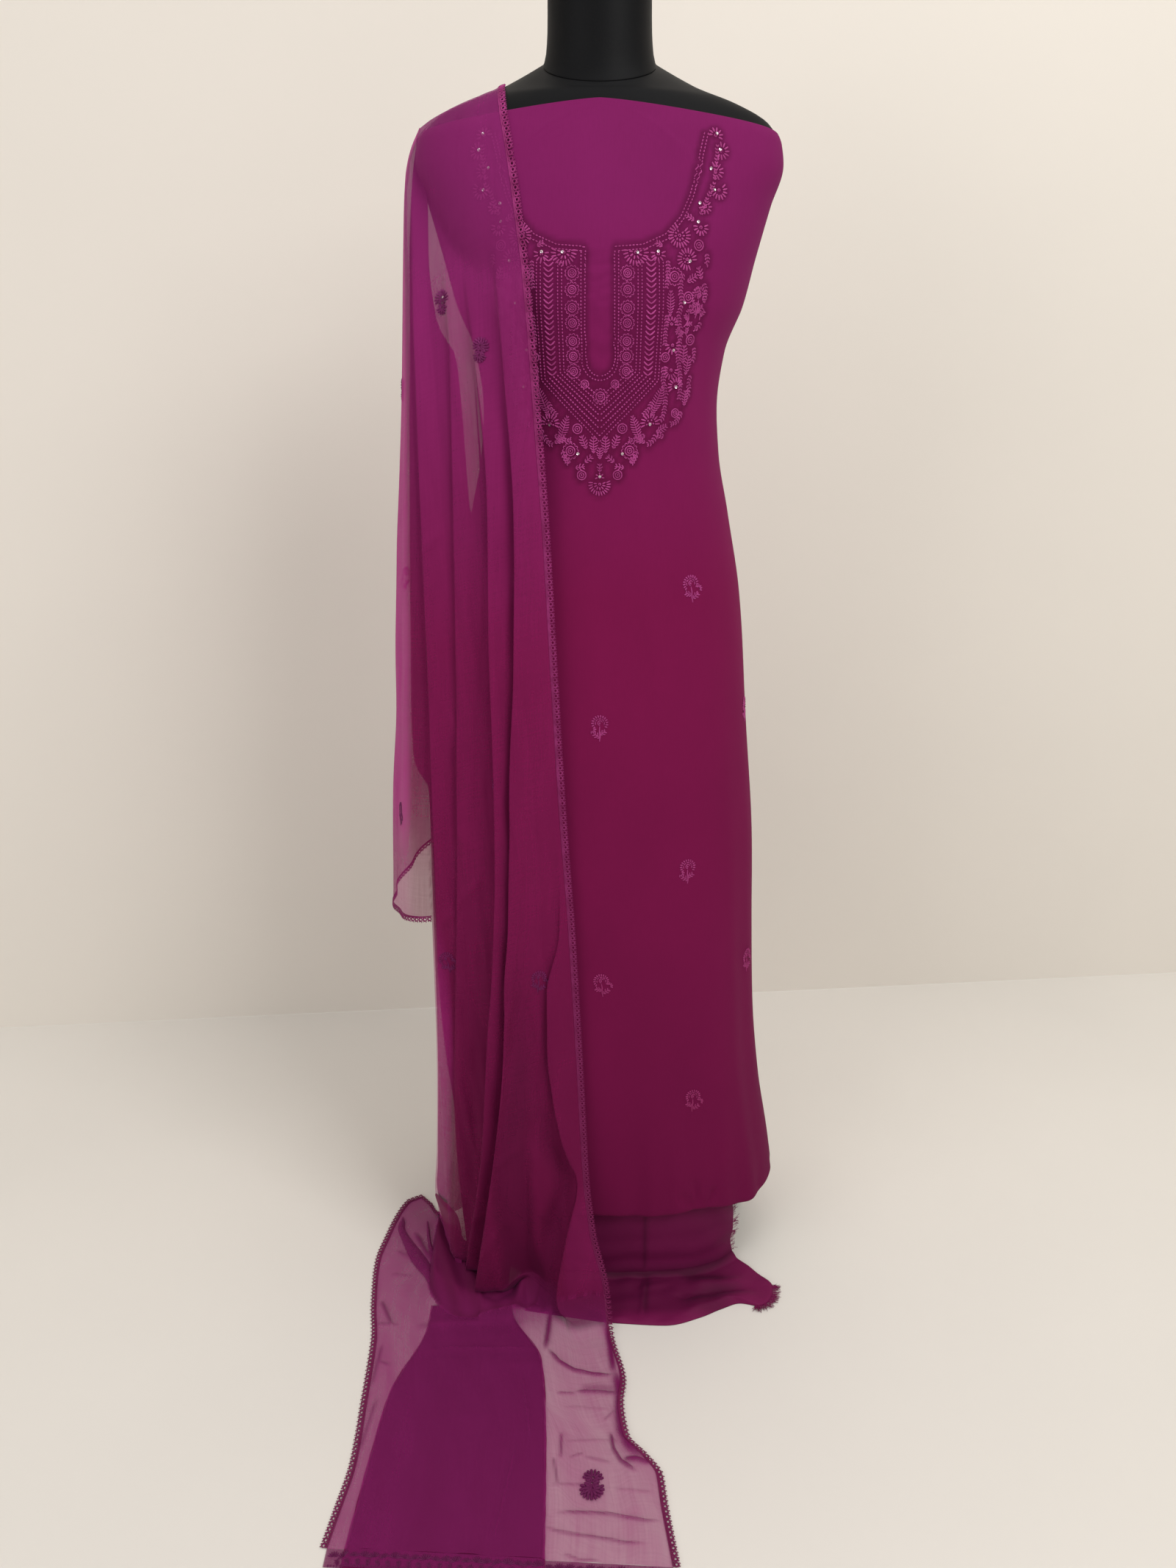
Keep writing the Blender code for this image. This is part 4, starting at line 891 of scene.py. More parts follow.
# ------------------------------------------------------------------ salwar cloth
SALWAR_CREASES = rows_of(Mark,
    ((580, 2000), (587, -300), 16, 16), ((1200, 1300), (1850, 0), -16, 120),
    ((1500, 1200), (2000, 200), 22, 100),
)
SALWAR_LINE = ((0.0600, 0.20), (0.0607, -0.03))     # the fold line's shade, from start to end
POOL_CREASES = rows_of(Mark,
    ((600, -1500), (520, -2260), 28, 30), ((2150, -1780), (900, -2220), 50, 100),
    ((2000, -1600), (1100, -1660), 36, 80), ((2050, -1700), (850, -1900), -20, 50),
    ((1000, -1600), (400, -1800), 20, 60),
)
POOL_SHADES = rows_of(Mark,
    ((640, -1400), (570, -2240), 1.0, 42), ((2050, -1670), (950, -1960), 1.0, 80),
    ((1780, -1560), (1000, -1500), 1.0, 70),
)
PANEL_CREASES = rows_of(Mark,
    ((-2620, -2735), (-600, -2735), 9, 16), ((-920, -3450), (-1240, -5550), 7, 14),
    ((-760, -3300), (-960, -4800), 6, 14),
)
# dark lines painted as shade along the panel's folds
PANEL_SHADE_LINES = rows_of(Mark,
    ((-3000, -2860), (-300, -2860), 1.0, 16), ((-920, -3100), (-780, -4100), 0.6, 20),
    ((-925, -4000), (-1110, -5400), 0.6, 22),
)


def pool_edge(share):
    return through(POOL_FRONT, share)[:, ::-1]


def build_salwar():
    places = np.linspace(SALWAR_FIRST, SALWAR_LAST, 260)
    levels = np.concatenate([np.linspace(SALWAR_TOP, 0.20, 50), np.linspace(0.195, 0.006, 64)])
    grid = level_rings(SALWAR_ROWS, levels, places)
    out = unit(normals(grid) * LEVEL)
    x, z = grid[..., 0], grid[..., 2]
    front = (grid[..., 1] < 0.0) * 1.0
    stand = 0.0010 * rough(x * 14.0, z * 9.0, 31) * smooth(0.0, 0.10, SALWAR_TOP - z)
    ripple = np.sin(z * 2 * math.pi / 0.034 + rough(x * 9.0, z * 6.0, 33))
    stand += front * (creased(x, z, SALWAR_CREASES) + 0.0014 * ripple * smooth(0.10, 0.0, z))
    grid += out * (stand - 0.0004)[..., None]
    # painted shade: the hanging salwar a little darker all over, more along its front fold line and at its
    # foot by the pool
    line = crease(x, z, *SALWAR_LINE, 0.0030)
    dark = 0.32 + 0.60 * front * np.maximum(line, 0.7 * smooth(0.022, 0.006, z))
    made = cloth_piece("salwar_look", grid, "salwar", "salwar_cloth", dark)
    build_salwar_floor(places)
    return grid


def build_salwar_floor(places):
    """The part of the salwar cloth that breaks forward on the floor."""
    share = np.linspace(0.0, 1.0, 180)
    last = places[int(len(places) * POOL_REACH)]
    back = section(SALWAR_ROWS, 0.0, np.interp(share, (0.0, 1.0), (places[0], last)))
    across = np.concatenate([np.linspace(0.0, 0.94, 46), [0.965, 0.985, 0.996, 1.0, 0.998]])[:, None]
    top = np.zeros((len(across), len(share), 3))
    top[..., :2] = back * (1.0 - across[..., None]) + pool_edge(share) * across[..., None]
    start = POOL_BACK_HEIGHT * smooth(0.22, 0.0, across)
    edge = np.sqrt(np.maximum(0.0, 1.0 - np.maximum(0.0, (across - 0.90) / 0.10) ** 2))
    rim = np.where(across < 0.998, (POOL_HEIGHT - 0.0006) * edge, 0.0002)
    x, y = top[..., 0], top[..., 1]
    inside = smooth(0.0, 0.10, across) * smooth(1.0, 0.90, across)
    lift = 0.0012 * rough(x * 22.0, y * 26.0, 41) + creased(x, y, POOL_CREASES)
    top[..., 2] = np.maximum(start, rim) + inside * np.maximum(lift, -0.0022)
    # painted shade over the pool except its lit right end, more near the salwar's wall and along its shade
    # lines
    dark = 0.60 * smooth(0.195, 0.150, x) * smooth(-0.224, -0.205, y) + 0.6 * smooth(0.14, 0.02, across)
    dark = dark + 0.45 * creased(x, y, POOL_SHADES, np.maximum)
    fold = cloth_piece("salwar_floor_look", top, "salwar", "salwar_floor_fold", dark)


def build_panel():
    """Cloth folded flat: a top layer, and the stacked edges of the layers under it."""
    ys = np.concatenate([[PANEL_BACK], np.linspace(-0.2015, -0.5985, 130), [PANEL_FRONT]])
    across = np.concatenate([[0.0], np.linspace(0.006, 0.994, 96), [1.0]])
    left, right = column(PANEL_LEFT, "x", ys, "y"), column(PANEL_RIGHT, "x", ys, "y")
    x = right[:, None] * (1.0 - across) + left[:, None] * across
    y = np.broadcast_to(ys[:, None], x.shape)
    height = PANEL_HEIGHT + 0.00025 * rough(x * 30.0, y * 22.0, 51) + creased(x, y, PANEL_CREASES)
    rim = np.minimum(smooth(0.0, 0.006, across) * smooth(1.0, 0.994, across),
                     (smooth(PANEL_BACK, -0.203, ys) * smooth(PANEL_FRONT, -0.597, ys))[:, None])
    top = np.stack([x, y, 0.0006 + (height - 0.0006) * rim], axis=-1)
    # painted shade over the panel's back part beside the dupatta's foot, with random tone; painted shade
    # along its lines, and a painted highlight along y = -0.302
    upper = 0.16 * smooth(-0.292, -0.284, y) + 0.05 * rough(x * 9.0, y * 16.0, 52)
    dark = np.maximum(upper, 0.0) + 0.40 * creased(x, y, PANEL_SHADE_LINES, np.maximum)
    dark = dark - 0.10 * np.exp(-((y + 0.302) / 0.010) ** 2)
    made = cloth_piece("salwar_panel_look", top, "salwar", "salwar_folded_panel", dark)
    layers = []
    for k, rise in enumerate((0.0007, 0.0014)):
        for xs, push in ((right, 1.0), (left, -1.0)):
            xs = xs + push * (0.0005 + 0.0007 * k) + 0.0004 * rough(ys * 25.0, ys * 0.0, 60 + k)
            line = np.stack([xs, ys, np.full(len(ys), rise)], axis=-1)
            layers.append((line, np.tile(UP, (len(ys), 1)), 0.0006, 0.0003))
    edges = strokes_mesh("salwar_panel_edges", layers, "salwar")


# ------------------------------------------------------------------ threads laid on cloth
def strokes_mesh(name, strokes, look):
    """One mesh of many short threads: each has points, normals, half width and height."""
    angles = np.linspace(math.pi, 0.0, THREAD_SIDES)[None, :, None]
    grids = []
    for path, lean, wide, high in strokes:
        n = len(path)
        side = unit(np.cross(unit(np.gradient(path, axis=0)), lean))
        taper = np.sin(np.linspace(0.16, 1.0 - 0.16, n) * math.pi) ** 0.6 if n > 2 else np.ones(n)
        taper = taper[:, None, None]
        grids.append(path[:, None] + side[:, None] * (np.cos(angles) * wide) * taper
                     + lean[:, None] * (np.sin(angles) * high) * taper)
    return finished(name, mesh_from(name, *joined(grids)), look)


class Cloth:
    """A surface that stitches are laid on: flat motifs are wrapped round it."""

    def __init__(self, tree, outward):
        self.tree = tree
        self.outward = outward
        self.strokes = []
        self.sequins = []

    def snapped(self, points):
        found, lean = [], []
        for point in points:
            near, normal, _, _ = self.tree.find_nearest(Vector(point))
            near, normal = np.array(near), np.array(normal)
            found.append(near)
            lean.append(-normal if normal @ self.outward(near) < 0.0 else normal)
        return np.array(found), np.array(lean)

    def frame_at(self, centre, turn=0.0):
        spot, lean = (v[0] for v in self.snapped([centre]))
        up = UP if abs(lean[2]) < 0.8 else np.array([0.0, 1.0, 0.0])
        across = unit(np.cross(up, lean))
        up = np.cross(lean, across)
        c, s = math.cos(turn), math.sin(turn)
        return spot, across * c + up * s, up * c - across * s

    def laid(self, place, flat):
        """Flat points in metres, wrapped onto the cloth round a place on it."""
        spot, across, up = place
        flat = np.asarray(flat, float)
        return self.snapped(spot + flat[:, :1] * across + flat[:, 1:] * up)

    def stitch(self, centre, flat, wide, turn=0.0):
        """One thread through flat points round the centre."""
        self.strokes.append((*self.laid(self.frame_at(centre, turn), flat), wide, wide * 1.1))

    def motif(self, centre, threads, scale=1.0, turn=0.0):
        """Threads drawn in millimetres, round the centre."""
        place = self.frame_at(centre, turn)
        for flat, wide in threads:
            wide = wide * MM * scale
            points, lean = self.laid(place, np.asarray(flat, float) * MM * scale)
            self.strokes.append((points, lean, wide, wide * THREAD_RISE))

    def sequin(self, centre):
        spot, across, up = self.frame_at(centre)
        self.sequins.append((spot, across, up, np.cross(across, up)))


# ------------------------------------------------------------------ motifs, in millimetres
def arc(cx, cy, radius, start, end, count=6):
    angles = np.radians(np.linspace(start, end, count))
    return [(cx + radius * math.cos(a), cy + radius * math.sin(a)) for a in angles]


def rose(radius, scallops=0):
    """A bullion rose: overlapping coiled stitches, with a ring of small loops if asked."""
    threads = [(arc(0, 0, radius * 0.86, k * 60, k * 60 + 70, 6), 0.60) for k in range(6)]
    threads += [(arc(0, 0, radius * 0.46, k * 90 + 25, k * 90 + 112, 5), 0.54) for k in range(4)]
    threads.append((arc(0.06 * radius, 0, radius * 0.12, 0, 300, 6), 0.50))
    for k in range(scallops):
        turn = 360.0 * k / scallops
        x, y = arc(0, 0, radius + 1.5, turn, turn, 1)[0]
        threads.append((arc(x, y, 1.25, turn - 105, turn + 105, 5), 0.50))
    return threads


def fan(inner, outer, start, end, count, wide=0.62, curl=10.0):
    """Petals side by side round an arc, each a looped stitch."""
    threads = []
    bend = math.radians(curl)
    for angle in np.radians(np.linspace(start, end, count)):
        knots = ((inner, angle), ((inner + outer) / 2.0, angle + bend * 0.3), (outer, angle + bend * 0.5))
        threads.append(([(r * math.cos(a), r * math.sin(a)) for r, a in knots], wide))
    return threads


def leaf(length, width, wide=0.64):
    """A leaf of slanted stitches on both sides of a rib, pointing up."""
    count = max(3, int(length / 2.3))
    threads = [([(0, 0), (0, length * 0.5), (0, length)], 0.5)]
    for k in range(count):
        y = length * (k + 0.2) / count
        reach = width * math.sin(math.pi * (k + 0.9) / (count + 1.0))
        for side in (-1, 1):
            threads.append(([(side * 0.4, y), (side * reach * 0.6, y + 0.9),
                             (side * reach, y + 2.0)], wide))
    return threads


def moved(threads, dx, dy, turn=0.0):
    c, s = math.cos(math.radians(turn)), math.sin(math.radians(turn))
    return [([(dx + x * c - y * s, dy + x * s + y * c) for x, y in flat], wide)
            for flat, wide in threads]


def mirrored(threads):
    return [([(-x, y) for x, y in flat], wide) for flat, wide in threads]


def flower(reach, spread=205.0):
    """Looped petals side by side round a coil, opening to the right; large ones have two rows."""
    length = min(4.6, reach * 0.56)
    rows = [(reach - length, reach)]
    if reach > 9.0:
        rows.append((reach * 0.26, reach - length - 0.9))
    threads = []
    for inner, outer in rows:
        round_it = math.radians(spread) * (inner * 0.4 + outer * 0.6)
        count = max(4, int(round_it / 2.5))
        threads += fan(inner, outer, -spread / 2, spread / 2, count, 0.84, 9.0)
    return threads + arc_thread(0, 0, 1.1)


def cluster():
    """A close round blossom of looped petals, about 18 by 22 mm."""
    threads = moved(fan(1.2, 5.6, -40, 220, 9, 1.15), 0, 3.2)
    threads += moved(fan(5.0, 8.0, -20, 200, 11, 1.05), 0, 3.0)
    threads += moved(fan(1.0, 4.8, 150, 390, 8, 1.15), 0, -4.6)
    threads += moved(fan(4.4, 6.8, 190, 350, 8, 1.0), 0, -4.4)
    threads += moved(fan(0.8, 5.0, 0, 320, 9, 1.1), 0.4, -0.8)
    return threads


def booti(flip=1):
    """A small spray: a fanned flower on a stem with two leaves, about 22 by 27 mm."""
    threads = fan(5.5, 8.1, -35, 215, 14, 0.80)
    threads += [(arc(0, 0, 4.3, 46 * k - 22, 46 * k + 16, 4), 0.58) for k in range(5)]
    threads += [(arc(0.3, 0.2, 2.3, 20, 265, 7), 0.58)] + arc_thread(0, 0, 0.6)
    threads = moved(threads, 0, 4.5)
    threads += [([(0, 1.5), (0.4 * flip, -3), (-0.3 * flip, -8), (0.3 * flip, -13.0)], 0.7)]
    threads += moved(leaf(8.0, 3.0), 0.6, -9.5, -58 * flip)
    threads += moved(leaf(7.0, 2.8), -0.4, -6.5, 60 * flip)
    threads += moved(fan(1.4, 4.2, -70, 70, 5, 0.8), 7.5 * flip, -1.5, 35 * flip)
    return threads


def arc_thread(cx, cy, radius):
    return [(arc(cx, cy, radius, 0, 330, 7), 0.62)]


def sprig(length=11.0):
    """A curling stem with leaves and a bud."""
    stem = [(0, 0), (length * 0.13, length * 0.3), (length * 0.11, length * 0.65), (-0.8, length)]
    threads = [(stem, 0.65)]
    threads += moved(leaf(length * 0.50, 2.1), 1.2, length * 0.22, -62)
    threads += moved(leaf(length * 0.46, 2.0), 1.0, length * 0.52, 55)
    threads += moved(fan(0.8, 3.6, 10, 170, 5, 0.72), -0.8, length)
    return threads


# where the yoke's lines and flowers lie on the front
Spot = namedtuple("Spot", "x z")
NECKLINE = rows_of(Spot,
    (146, 12577), (439, 12599), (660, 12691), (808, 12850), (889, 13037), (948, 13251), (985, 13438),
    (1030, 13620),
)
Stitch = namedtuple("Stitch", "pitch wide length")
NECK_STITCH = Stitch(0.0036, 0.00070, 0.0023)
PLACKET_STITCH = Stitch(0.0033, 0.00074, 0.0018)
ROW_STITCH = Stitch(0.0033, 0.00076, 0.0018)
CHEVRON_STITCH = Stitch(0.0034, 0.00086, 0.0021)
NECK_LINES = (0.0, 0.0042)          # how far each line is off the neckline
PLACKET_LINES = (0.0150, 0.0190)    # half widths of the lines round the placket
PLACKET_TOP = 1.2577
PLACKET_FOOT = 1.1500
ROSE_COLUMN = 0.0280
ROSE_HEIGHTS = (1.2326, 1.2169, 1.1998, 1.1854, 1.1680, 1.1532, 1.1382)
LOW_ROSE = Spot(0.0163, 1.1254)
MIDDLE_ROSE = Spot(0.0006, 1.1129)
LOW_SEQUIN = Spot(0.0005, 1.0340)
YOKE_SCALE = 1.13           # of the border's flowers
YOKE_ROWS = (0.0385, 0.0425, 0.0600, 0.0640)
CHEVRON_ROWS = (0.0345, 0.0466, 0.0510, 0.0555)
LEAF_COLUMN = 0.0518
BAND_TOP = 1.2440
BAND_TURN = 1.1330
BAND_SLOPE = 0.91
BAND_PITCH = 0.0050
BAND_STITCH = ((0.0, 0.0), (0.0024, 0.0014), (0.0050, 0.0040))
Bloom = namedtuple("Bloom", "kind x z turn size")
YOKE_BLOOMS = rows_of(Bloom,
    ("flower", 365, 12522, 270.0, 11.5), ("flower", 591, 12507, 270.0, 7.0),
    ("leaf", 600, 12600, 60.0, 7.0), ("bloom", 801, 12679, 250.0, 10.5),
    ("rose", 1005, 12592, 0.0, 5.0), ("bloom", 882, 12459, 140.0, 9.5),
    ("scalloped", 754, 12295, 0.0, 4.9), ("leaf", 935, 12277, -60.0, 11.0),
    ("leaf", 1019, 12334, 20.0, 11.0), ("rose", 898, 12102, 0.0, 5.2),
    ("leaf", 1005, 12148, 30.0, 10.0), ("broad", 715, 12040, 0.0, 22.0),
    ("flower", 740, 11848, 90.0, 6.5), ("sprig", 898, 11883, -20.0, 13.0),
    ("sprig", 1032, 11951, 20.0, 13.0), ("sprig", 879, 11750, 60.0, 11.0),
    ("rose", 982, 11684, 0.0, 5.2), ("flower", 772, 11638, 280.0, 8.0), ("rose", 700, 11520, 0.0, 4.6),
    ("leaf", 912, 11548, 0.0, 16.0), ("flower", 780, 11389, 255.0, 8.3),
    ("leaf", 981, 11434, -5.0, 17.0), ("leaf", 995, 11106, 0.0, 14.0),
    ("flower", 849, 11227, 110.0, 8.3), ("broad", 640, 11080, -20.0, 28.0),
    ("rose", 871, 10960, 0.0, 4.4), ("flower", 570, 10857, 95.0, 9.5),
    ("broad", 414, 10800, 20.0, 26.0), ("rose", 252, 10805, 0.0, 5.0),
    ("scalloped", 335, 10589, 0.0, 4.9), ("leaf", 178, 10671, -20.0, 13.0),
    ("leaf", 67, 10645, 0.0, 15.0), ("leaf", 123, 10509, 50.0, 9.0), ("leaf", 222, 10432, 80.0, 9.0),
    ("leaf", 457, 10696, 60.0, 12.0), ("leaf", 710, 10799, -60.0, 12.0),
    ("leaf", 376, 10507, -30.0, 9.0), ("rose", 203, 10351, 0.0, 4.8),
)
SHOULDER_BLOOMS = rows_of(Bloom,
    ("flower", 1010, 12754, 270.0, 7.4), ("leaf", 901, 12837, 60.0, 8.0),
    ("flower", 1043, 12938, 290.0, 6.5), ("flower", 1169, 13095, 290.0, 8.5),
    ("flower", 1130, 13260, 0.0, 8.0), ("flower", 1180, 13440, -20.0, 8.0),
    ("flower", 1130, 13580, 70.0, 7.0),
)
FOOT_BLOOMS = rows_of(Bloom,
    ("flower", 3, 10330, 90.0, 5.0), ("flower", 3, 10259, 270.0, 12.0),
    ("leaf", 3, 10427, 0.0, 9.0), ("leaf", 3, 10563, 0.0, 12.0),
)
YOKE_SEQUINS = rows_of(Spot,
    (378, 12520), (590, 12530), (911, 12444), (851, 12051), (782, 11596), (859, 11218), (565, 10850),
    (250, 10560), (1173, 13446), (1083, 13283), (1130, 13101), (987, 12972), (981, 12801),
    (1135, 13590),
)
BOOTI_PITCH = 0.103         # along the cloth between columns of sprays
BOOTI_EVEN = (0.758, 0.439)
BOOTI_ODD = (0.912, 0.582, 0.276, 1.206)
BOOTI_SCALE = 1.2
VINE_PITCH = 0.0030
# stems that wind between the flowers of the border: their spots and how far the stitches reach
VINES = (
    (rows_of(Spot, (1085, 12520), (1100, 12440), (1060, 12390)), 0.0024),
    (rows_of(Spot, (1060, 12240), (1090, 12160), (1080, 12080), (1040, 12040)), 0.0027),
    (rows_of(Spot, (1080, 11860), (1050, 11790), (980, 11800)), 0.0026),
    (rows_of(Spot, (1050, 11610), (1075, 11520), (1050, 11440)), 0.0024),
    (rows_of(Spot, (1060, 11330), (1035, 11250), (1060, 11170), (1010, 11080)), 0.0027),
    (rows_of(Spot, (960, 10980), (900, 10880), (800, 10840)), 0.0026),
    (rows_of(Spot, (740, 10720), (660, 10740), (600, 10670), (520, 10640)), 0.0027),
    (rows_of(Spot, (430, 10590), (400, 10520), (330, 10440)), 0.0024),
    (rows_of(Spot, (690, 12450), (680, 12240), (665, 12160)), 0.0022),
    (rows_of(Spot, (840, 12330), (815, 12190), (830, 12040), (805, 11930), (835, 11800), (850, 11680),
                  (845, 11540), (870, 11440), (900, 11320), (920, 11180), (910, 11050)), 0.0026),
    (rows_of(Spot, (685, 11940), (680, 11760), (690, 11600)), 0.0022),
    (rows_of(Spot, (690, 11430), (700, 11280), (740, 11120), (730, 10960), (670, 10850)), 0.0026),
    (rows_of(Spot, (590, 11080), (530, 10980), (460, 10930)), 0.0024),
    (rows_of(Spot, (520, 10740), (390, 10690), (290, 10700)), 0.0024),
    (rows_of(Spot, (1000, 12860), (1060, 13010), (1120, 13180), (1140, 13360), (1150, 13520)), 0.0020),
)


def bloom_threads(kind, size):
    """The threads of one motif, turned so that a flower opens right and a leaf points up."""
    if kind in ("rose", "scalloped"):
        return rose(size, 12 if kind == "scalloped" else 0)
    if kind in ("flower", "bloom"):
        return flower(size, 290.0 if kind == "bloom" else 205.0)
    if kind == "sprig":
        return moved(sprig(size), 0, -size / 2)
    width = size * 0.18 + (1.7 if kind == "leaf" else 0.0)
    return moved(leaf(size, width), 0, -size / 2)


def on_front(x, z):
    """A point close in front of the cloth, to be snapped to it."""
    return np.array([x, -0.125 + 2.2 * x * x + max(0.0, z - 1.26) * 0.42, z])


def running(cloth, spots, stitch):
    """Running stitches along a line."""
    spots = np.array([on_front(x, z) for x, z in spots])
    walk = walk_along(spots)
    reach = stitch.length * np.array([-0.5, 0.0, 0.5])
    for s in np.arange(stitch.pitch / 2, walk[-1], stitch.pitch):
        points, lean = cloth.snapped(read_at(spots, walk, s + reach))
        cloth.strokes.append((points, lean, stitch.wide, stitch.wide * THREAD_RISE))


def vine(cloth, side, spots, reach):
    """A stem of short stitches with slanted ones on both sides, through the spots."""
    path = through([(side * s.x, s.z) for s in spots], np.linspace(0.0, 1.0, 12 * len(spots)))
    walk = walk_along(path)
    for k, s in enumerate(np.arange(VINE_PITCH / 2, walk[-1] - VINE_PITCH, VINE_PITCH)):
        (x, z), (ahead, above) = read_at(path, walk, np.array([s, s + MM]))
        turn = math.atan2(above - z, ahead - x)
        cloth.stitch(on_front(x, z), [(-0.0011, 0.0), (0.0, 0.0002), (0.0011, 0.0)], 0.00062, turn)
        long = reach * (1.0 + 0.25 * math.sin(2.3 * k))
        for way in (-1, 1):
            flat = [(-0.0006, way * 0.0010), (0.0003, way * long * 0.6), (0.0015, way * long)]
            cloth.stitch(on_front(x, z), flat, 0.00074, turn)


def yoke(cloth):
    """The raised yoke: running lines, roses, leaf bands, and a flowered border."""
    for side in (-1.0, 1.0):
        yoke_lines(cloth, side)
        for z in np.arange(BAND_TOP, BAND_TURN, -BAND_PITCH):
            for way in (-1, 1):
                cloth.stitch(on_front(side * LEAF_COLUMN, z), [(way * x, y) for x, y in BAND_STITCH], 0.00088)
        for bloom in YOKE_BLOOMS + SHOULDER_BLOOMS:
            threads = moved(bloom_threads(bloom.kind, bloom.size), 0, 0, bloom.turn)
            threads = threads if side > 0 else mirrored(threads)
            cloth.motif(on_front(side * bloom.x, bloom.z), threads, YOKE_SCALE)
        for spots, reach in VINES:
            vine(cloth, side, spots, reach)
        for spot in YOKE_SEQUINS:
            cloth.sequin(on_front(side * spot.x, spot.z))
    cloth.motif(on_front(*MIDDLE_ROSE), rose(5.3, 12))
    for bloom in FOOT_BLOOMS:
        threads = moved(bloom_threads(bloom.kind, bloom.size), 0, 0, bloom.turn)
        cloth.motif(on_front(bloom.x, bloom.z), threads)
    cloth.sequin(on_front(*LOW_SEQUIN))


def yoke_lines(cloth, side):
    """Running lines and rows of roses on one side of the placket."""
    for off in NECK_LINES:
        spots = [(side * (s.x + off * 0.75), s.z - off * (0.4 if s.x > 0.08 else 1.0))
                 for s in NECKLINE]
        running(cloth, spots, NECK_STITCH)
    for half in PLACKET_LINES:
        foot = [(side * half * math.cos(a), PLACKET_FOOT - (half + 0.002) * math.sin(a))
                for a in np.linspace(0.0, math.pi / 2, 9)]
        running(cloth, [(side * half, PLACKET_TOP - half * 0.2)] + foot, PLACKET_STITCH)
    for k, z in enumerate(ROSE_HEIGHTS):
        cloth.motif(on_front(side * ROSE_COLUMN, z), rose(4.6, 11), 1.0, 0.5 * k)
    cloth.motif(on_front(side * LOW_ROSE.x, LOW_ROSE.z), rose(4.6), 1.0, 0.3)
    for x in YOKE_ROWS + CHEVRON_ROWS:
        turn = (side * x, BAND_TURN + 0.35 * (LEAF_COLUMN - x))
        foot = (0.0, BAND_TURN - BAND_SLOPE * x - 0.62 * (x - LEAF_COLUMN))
        if x in YOKE_ROWS:
            running(cloth, [(side * x, BAND_TOP), turn, foot], ROW_STITCH)
        else:
            running(cloth, [turn, foot], CHEVRON_STITCH)


def scatter_bootis(cloth):
    """Sprays in half-drop columns round the kameez."""
    for k in range(-6, 7):
        for n, z in enumerate(BOOTI_EVEN if k % 2 == 0 else BOOTI_ODD):
            rows = KAMEEZ_ROWS if z < FREE_TOP else FORM_ROWS
            ring = section(rows, min(z, FREE_TOP), np.linspace(0.0, 1.0, 721))
            walk = walk_along(ring)
            target = walk[-1] / 2 - BOOTI_PITCH * k
            if 0.03 < target < walk[-1] - 0.03:
                x, y = read_at(ring, walk, target)
                cloth.motif((x * 1.01, y * 1.01, z), booti(1 if (k + n) % 2 else -1), BOOTI_SCALE,
                            math.radians(6.0 * math.sin(2.1 * k + n)))


def paint_shade_near_stitches(piece, strokes):
    """Marks the cloth that lies near close stitches with painted shade, darker where the raised threads would
    shade it.
    """
    middles = KDTree(len(strokes))
    for k, stroke in enumerate(strokes):
        middles.insert(Vector(stroke[0][len(stroke[0]) // 2]), k)
    middles.balance()
    near = np.zeros(len(piece.data.vertices), np.float32)
    for vertex in piece.data.vertices:
        if vertex.co.z > 1.0 and vertex.co.y < 0.0:
            away = middles.find(vertex.co)[2]
            near[vertex.index] = min(1.0, max(0.0, 1.5 - away / 0.0045)) * 0.52
    noted(piece.data, "painted_shading", near)


def sequin_mesh(name, spots):
    """Small cupped discs, each with a hole in its middle."""
    angles = (np.arange(SEQUIN_SIDES) * 2.0 * math.pi / SEQUIN_SIDES)[:, None]
    discs = []
    for k, (spot, across, up, lean) in enumerate(spots):
        tip = unit(lean + 0.28 * math.sin(1.9 * k) * across + 0.28 * math.cos(2.6 * k) * up)
        side = unit(np.cross(tip, up))
        flat = SEQUIN_RADIUS * (np.cos(angles) * side + np.sin(angles) * np.cross(tip, side))
        discs.append(np.array([spot + flat * share + tip * (0.0011 + SEQUIN_RADIUS * rise * 0.4)
                               for share, rise in SEQUIN_RINGS]))
    return finished(name, mesh_from(name, *joined(discs, loop=True)), "sequin")


# ------------------------------------------------------------------ dupatta
def body_depth(x, z, name):
    """How deep the form or the kameez is at (x, z), in front or behind; 0 beside it."""
    deep = np.zeros(np.broadcast(x, z).shape)
    for rows, mine in ((FORM_ROWS, z >= FREE_TOP), (KAMEEZ_ROWS, z < FREE_TOP)):
        square = column(rows, "square", z)
        inside = np.maximum(0.0, 1.0 - (np.abs(x) / column(rows, "left", z)) ** square)
        deep = np.where(mine, column(rows, name, z) * inside ** (1.0 / square), deep)
    return deep


def rounded(away):
    """1 at 0, falling to 0 at 1, with a round top and a soft foot."""
    return np.cos(np.clip(away, 0.0, 1.0) * math.pi / 2.0) ** 2


def folds(table, x, z):
    """How far the folds stand out at (x, z), how far they lean, and how deep in shade it is."""
    out, shade = np.zeros_like(x), np.zeros_like(x)
    for fold in table:
        rise = column(fold, "rise", z) * (z <= fold[-1].z)
        middle = column(fold, "edge", z) + FOLD_LEAN * rise
        back = FOLD_BACK + 0.15 * rise
        wide = np.where(x > middle, column(fold, "face", z), back)
        out += rise * rounded(np.abs(x - middle) / wide)
        dark = np.exp(-((x - middle + back * 0.95) / (back * 0.60)) ** 2)
        shade = np.maximum(shade, dark * np.clip(rise / 0.012, 0.0, 1.0))
    return out, out * FOLD_LEAN, shade


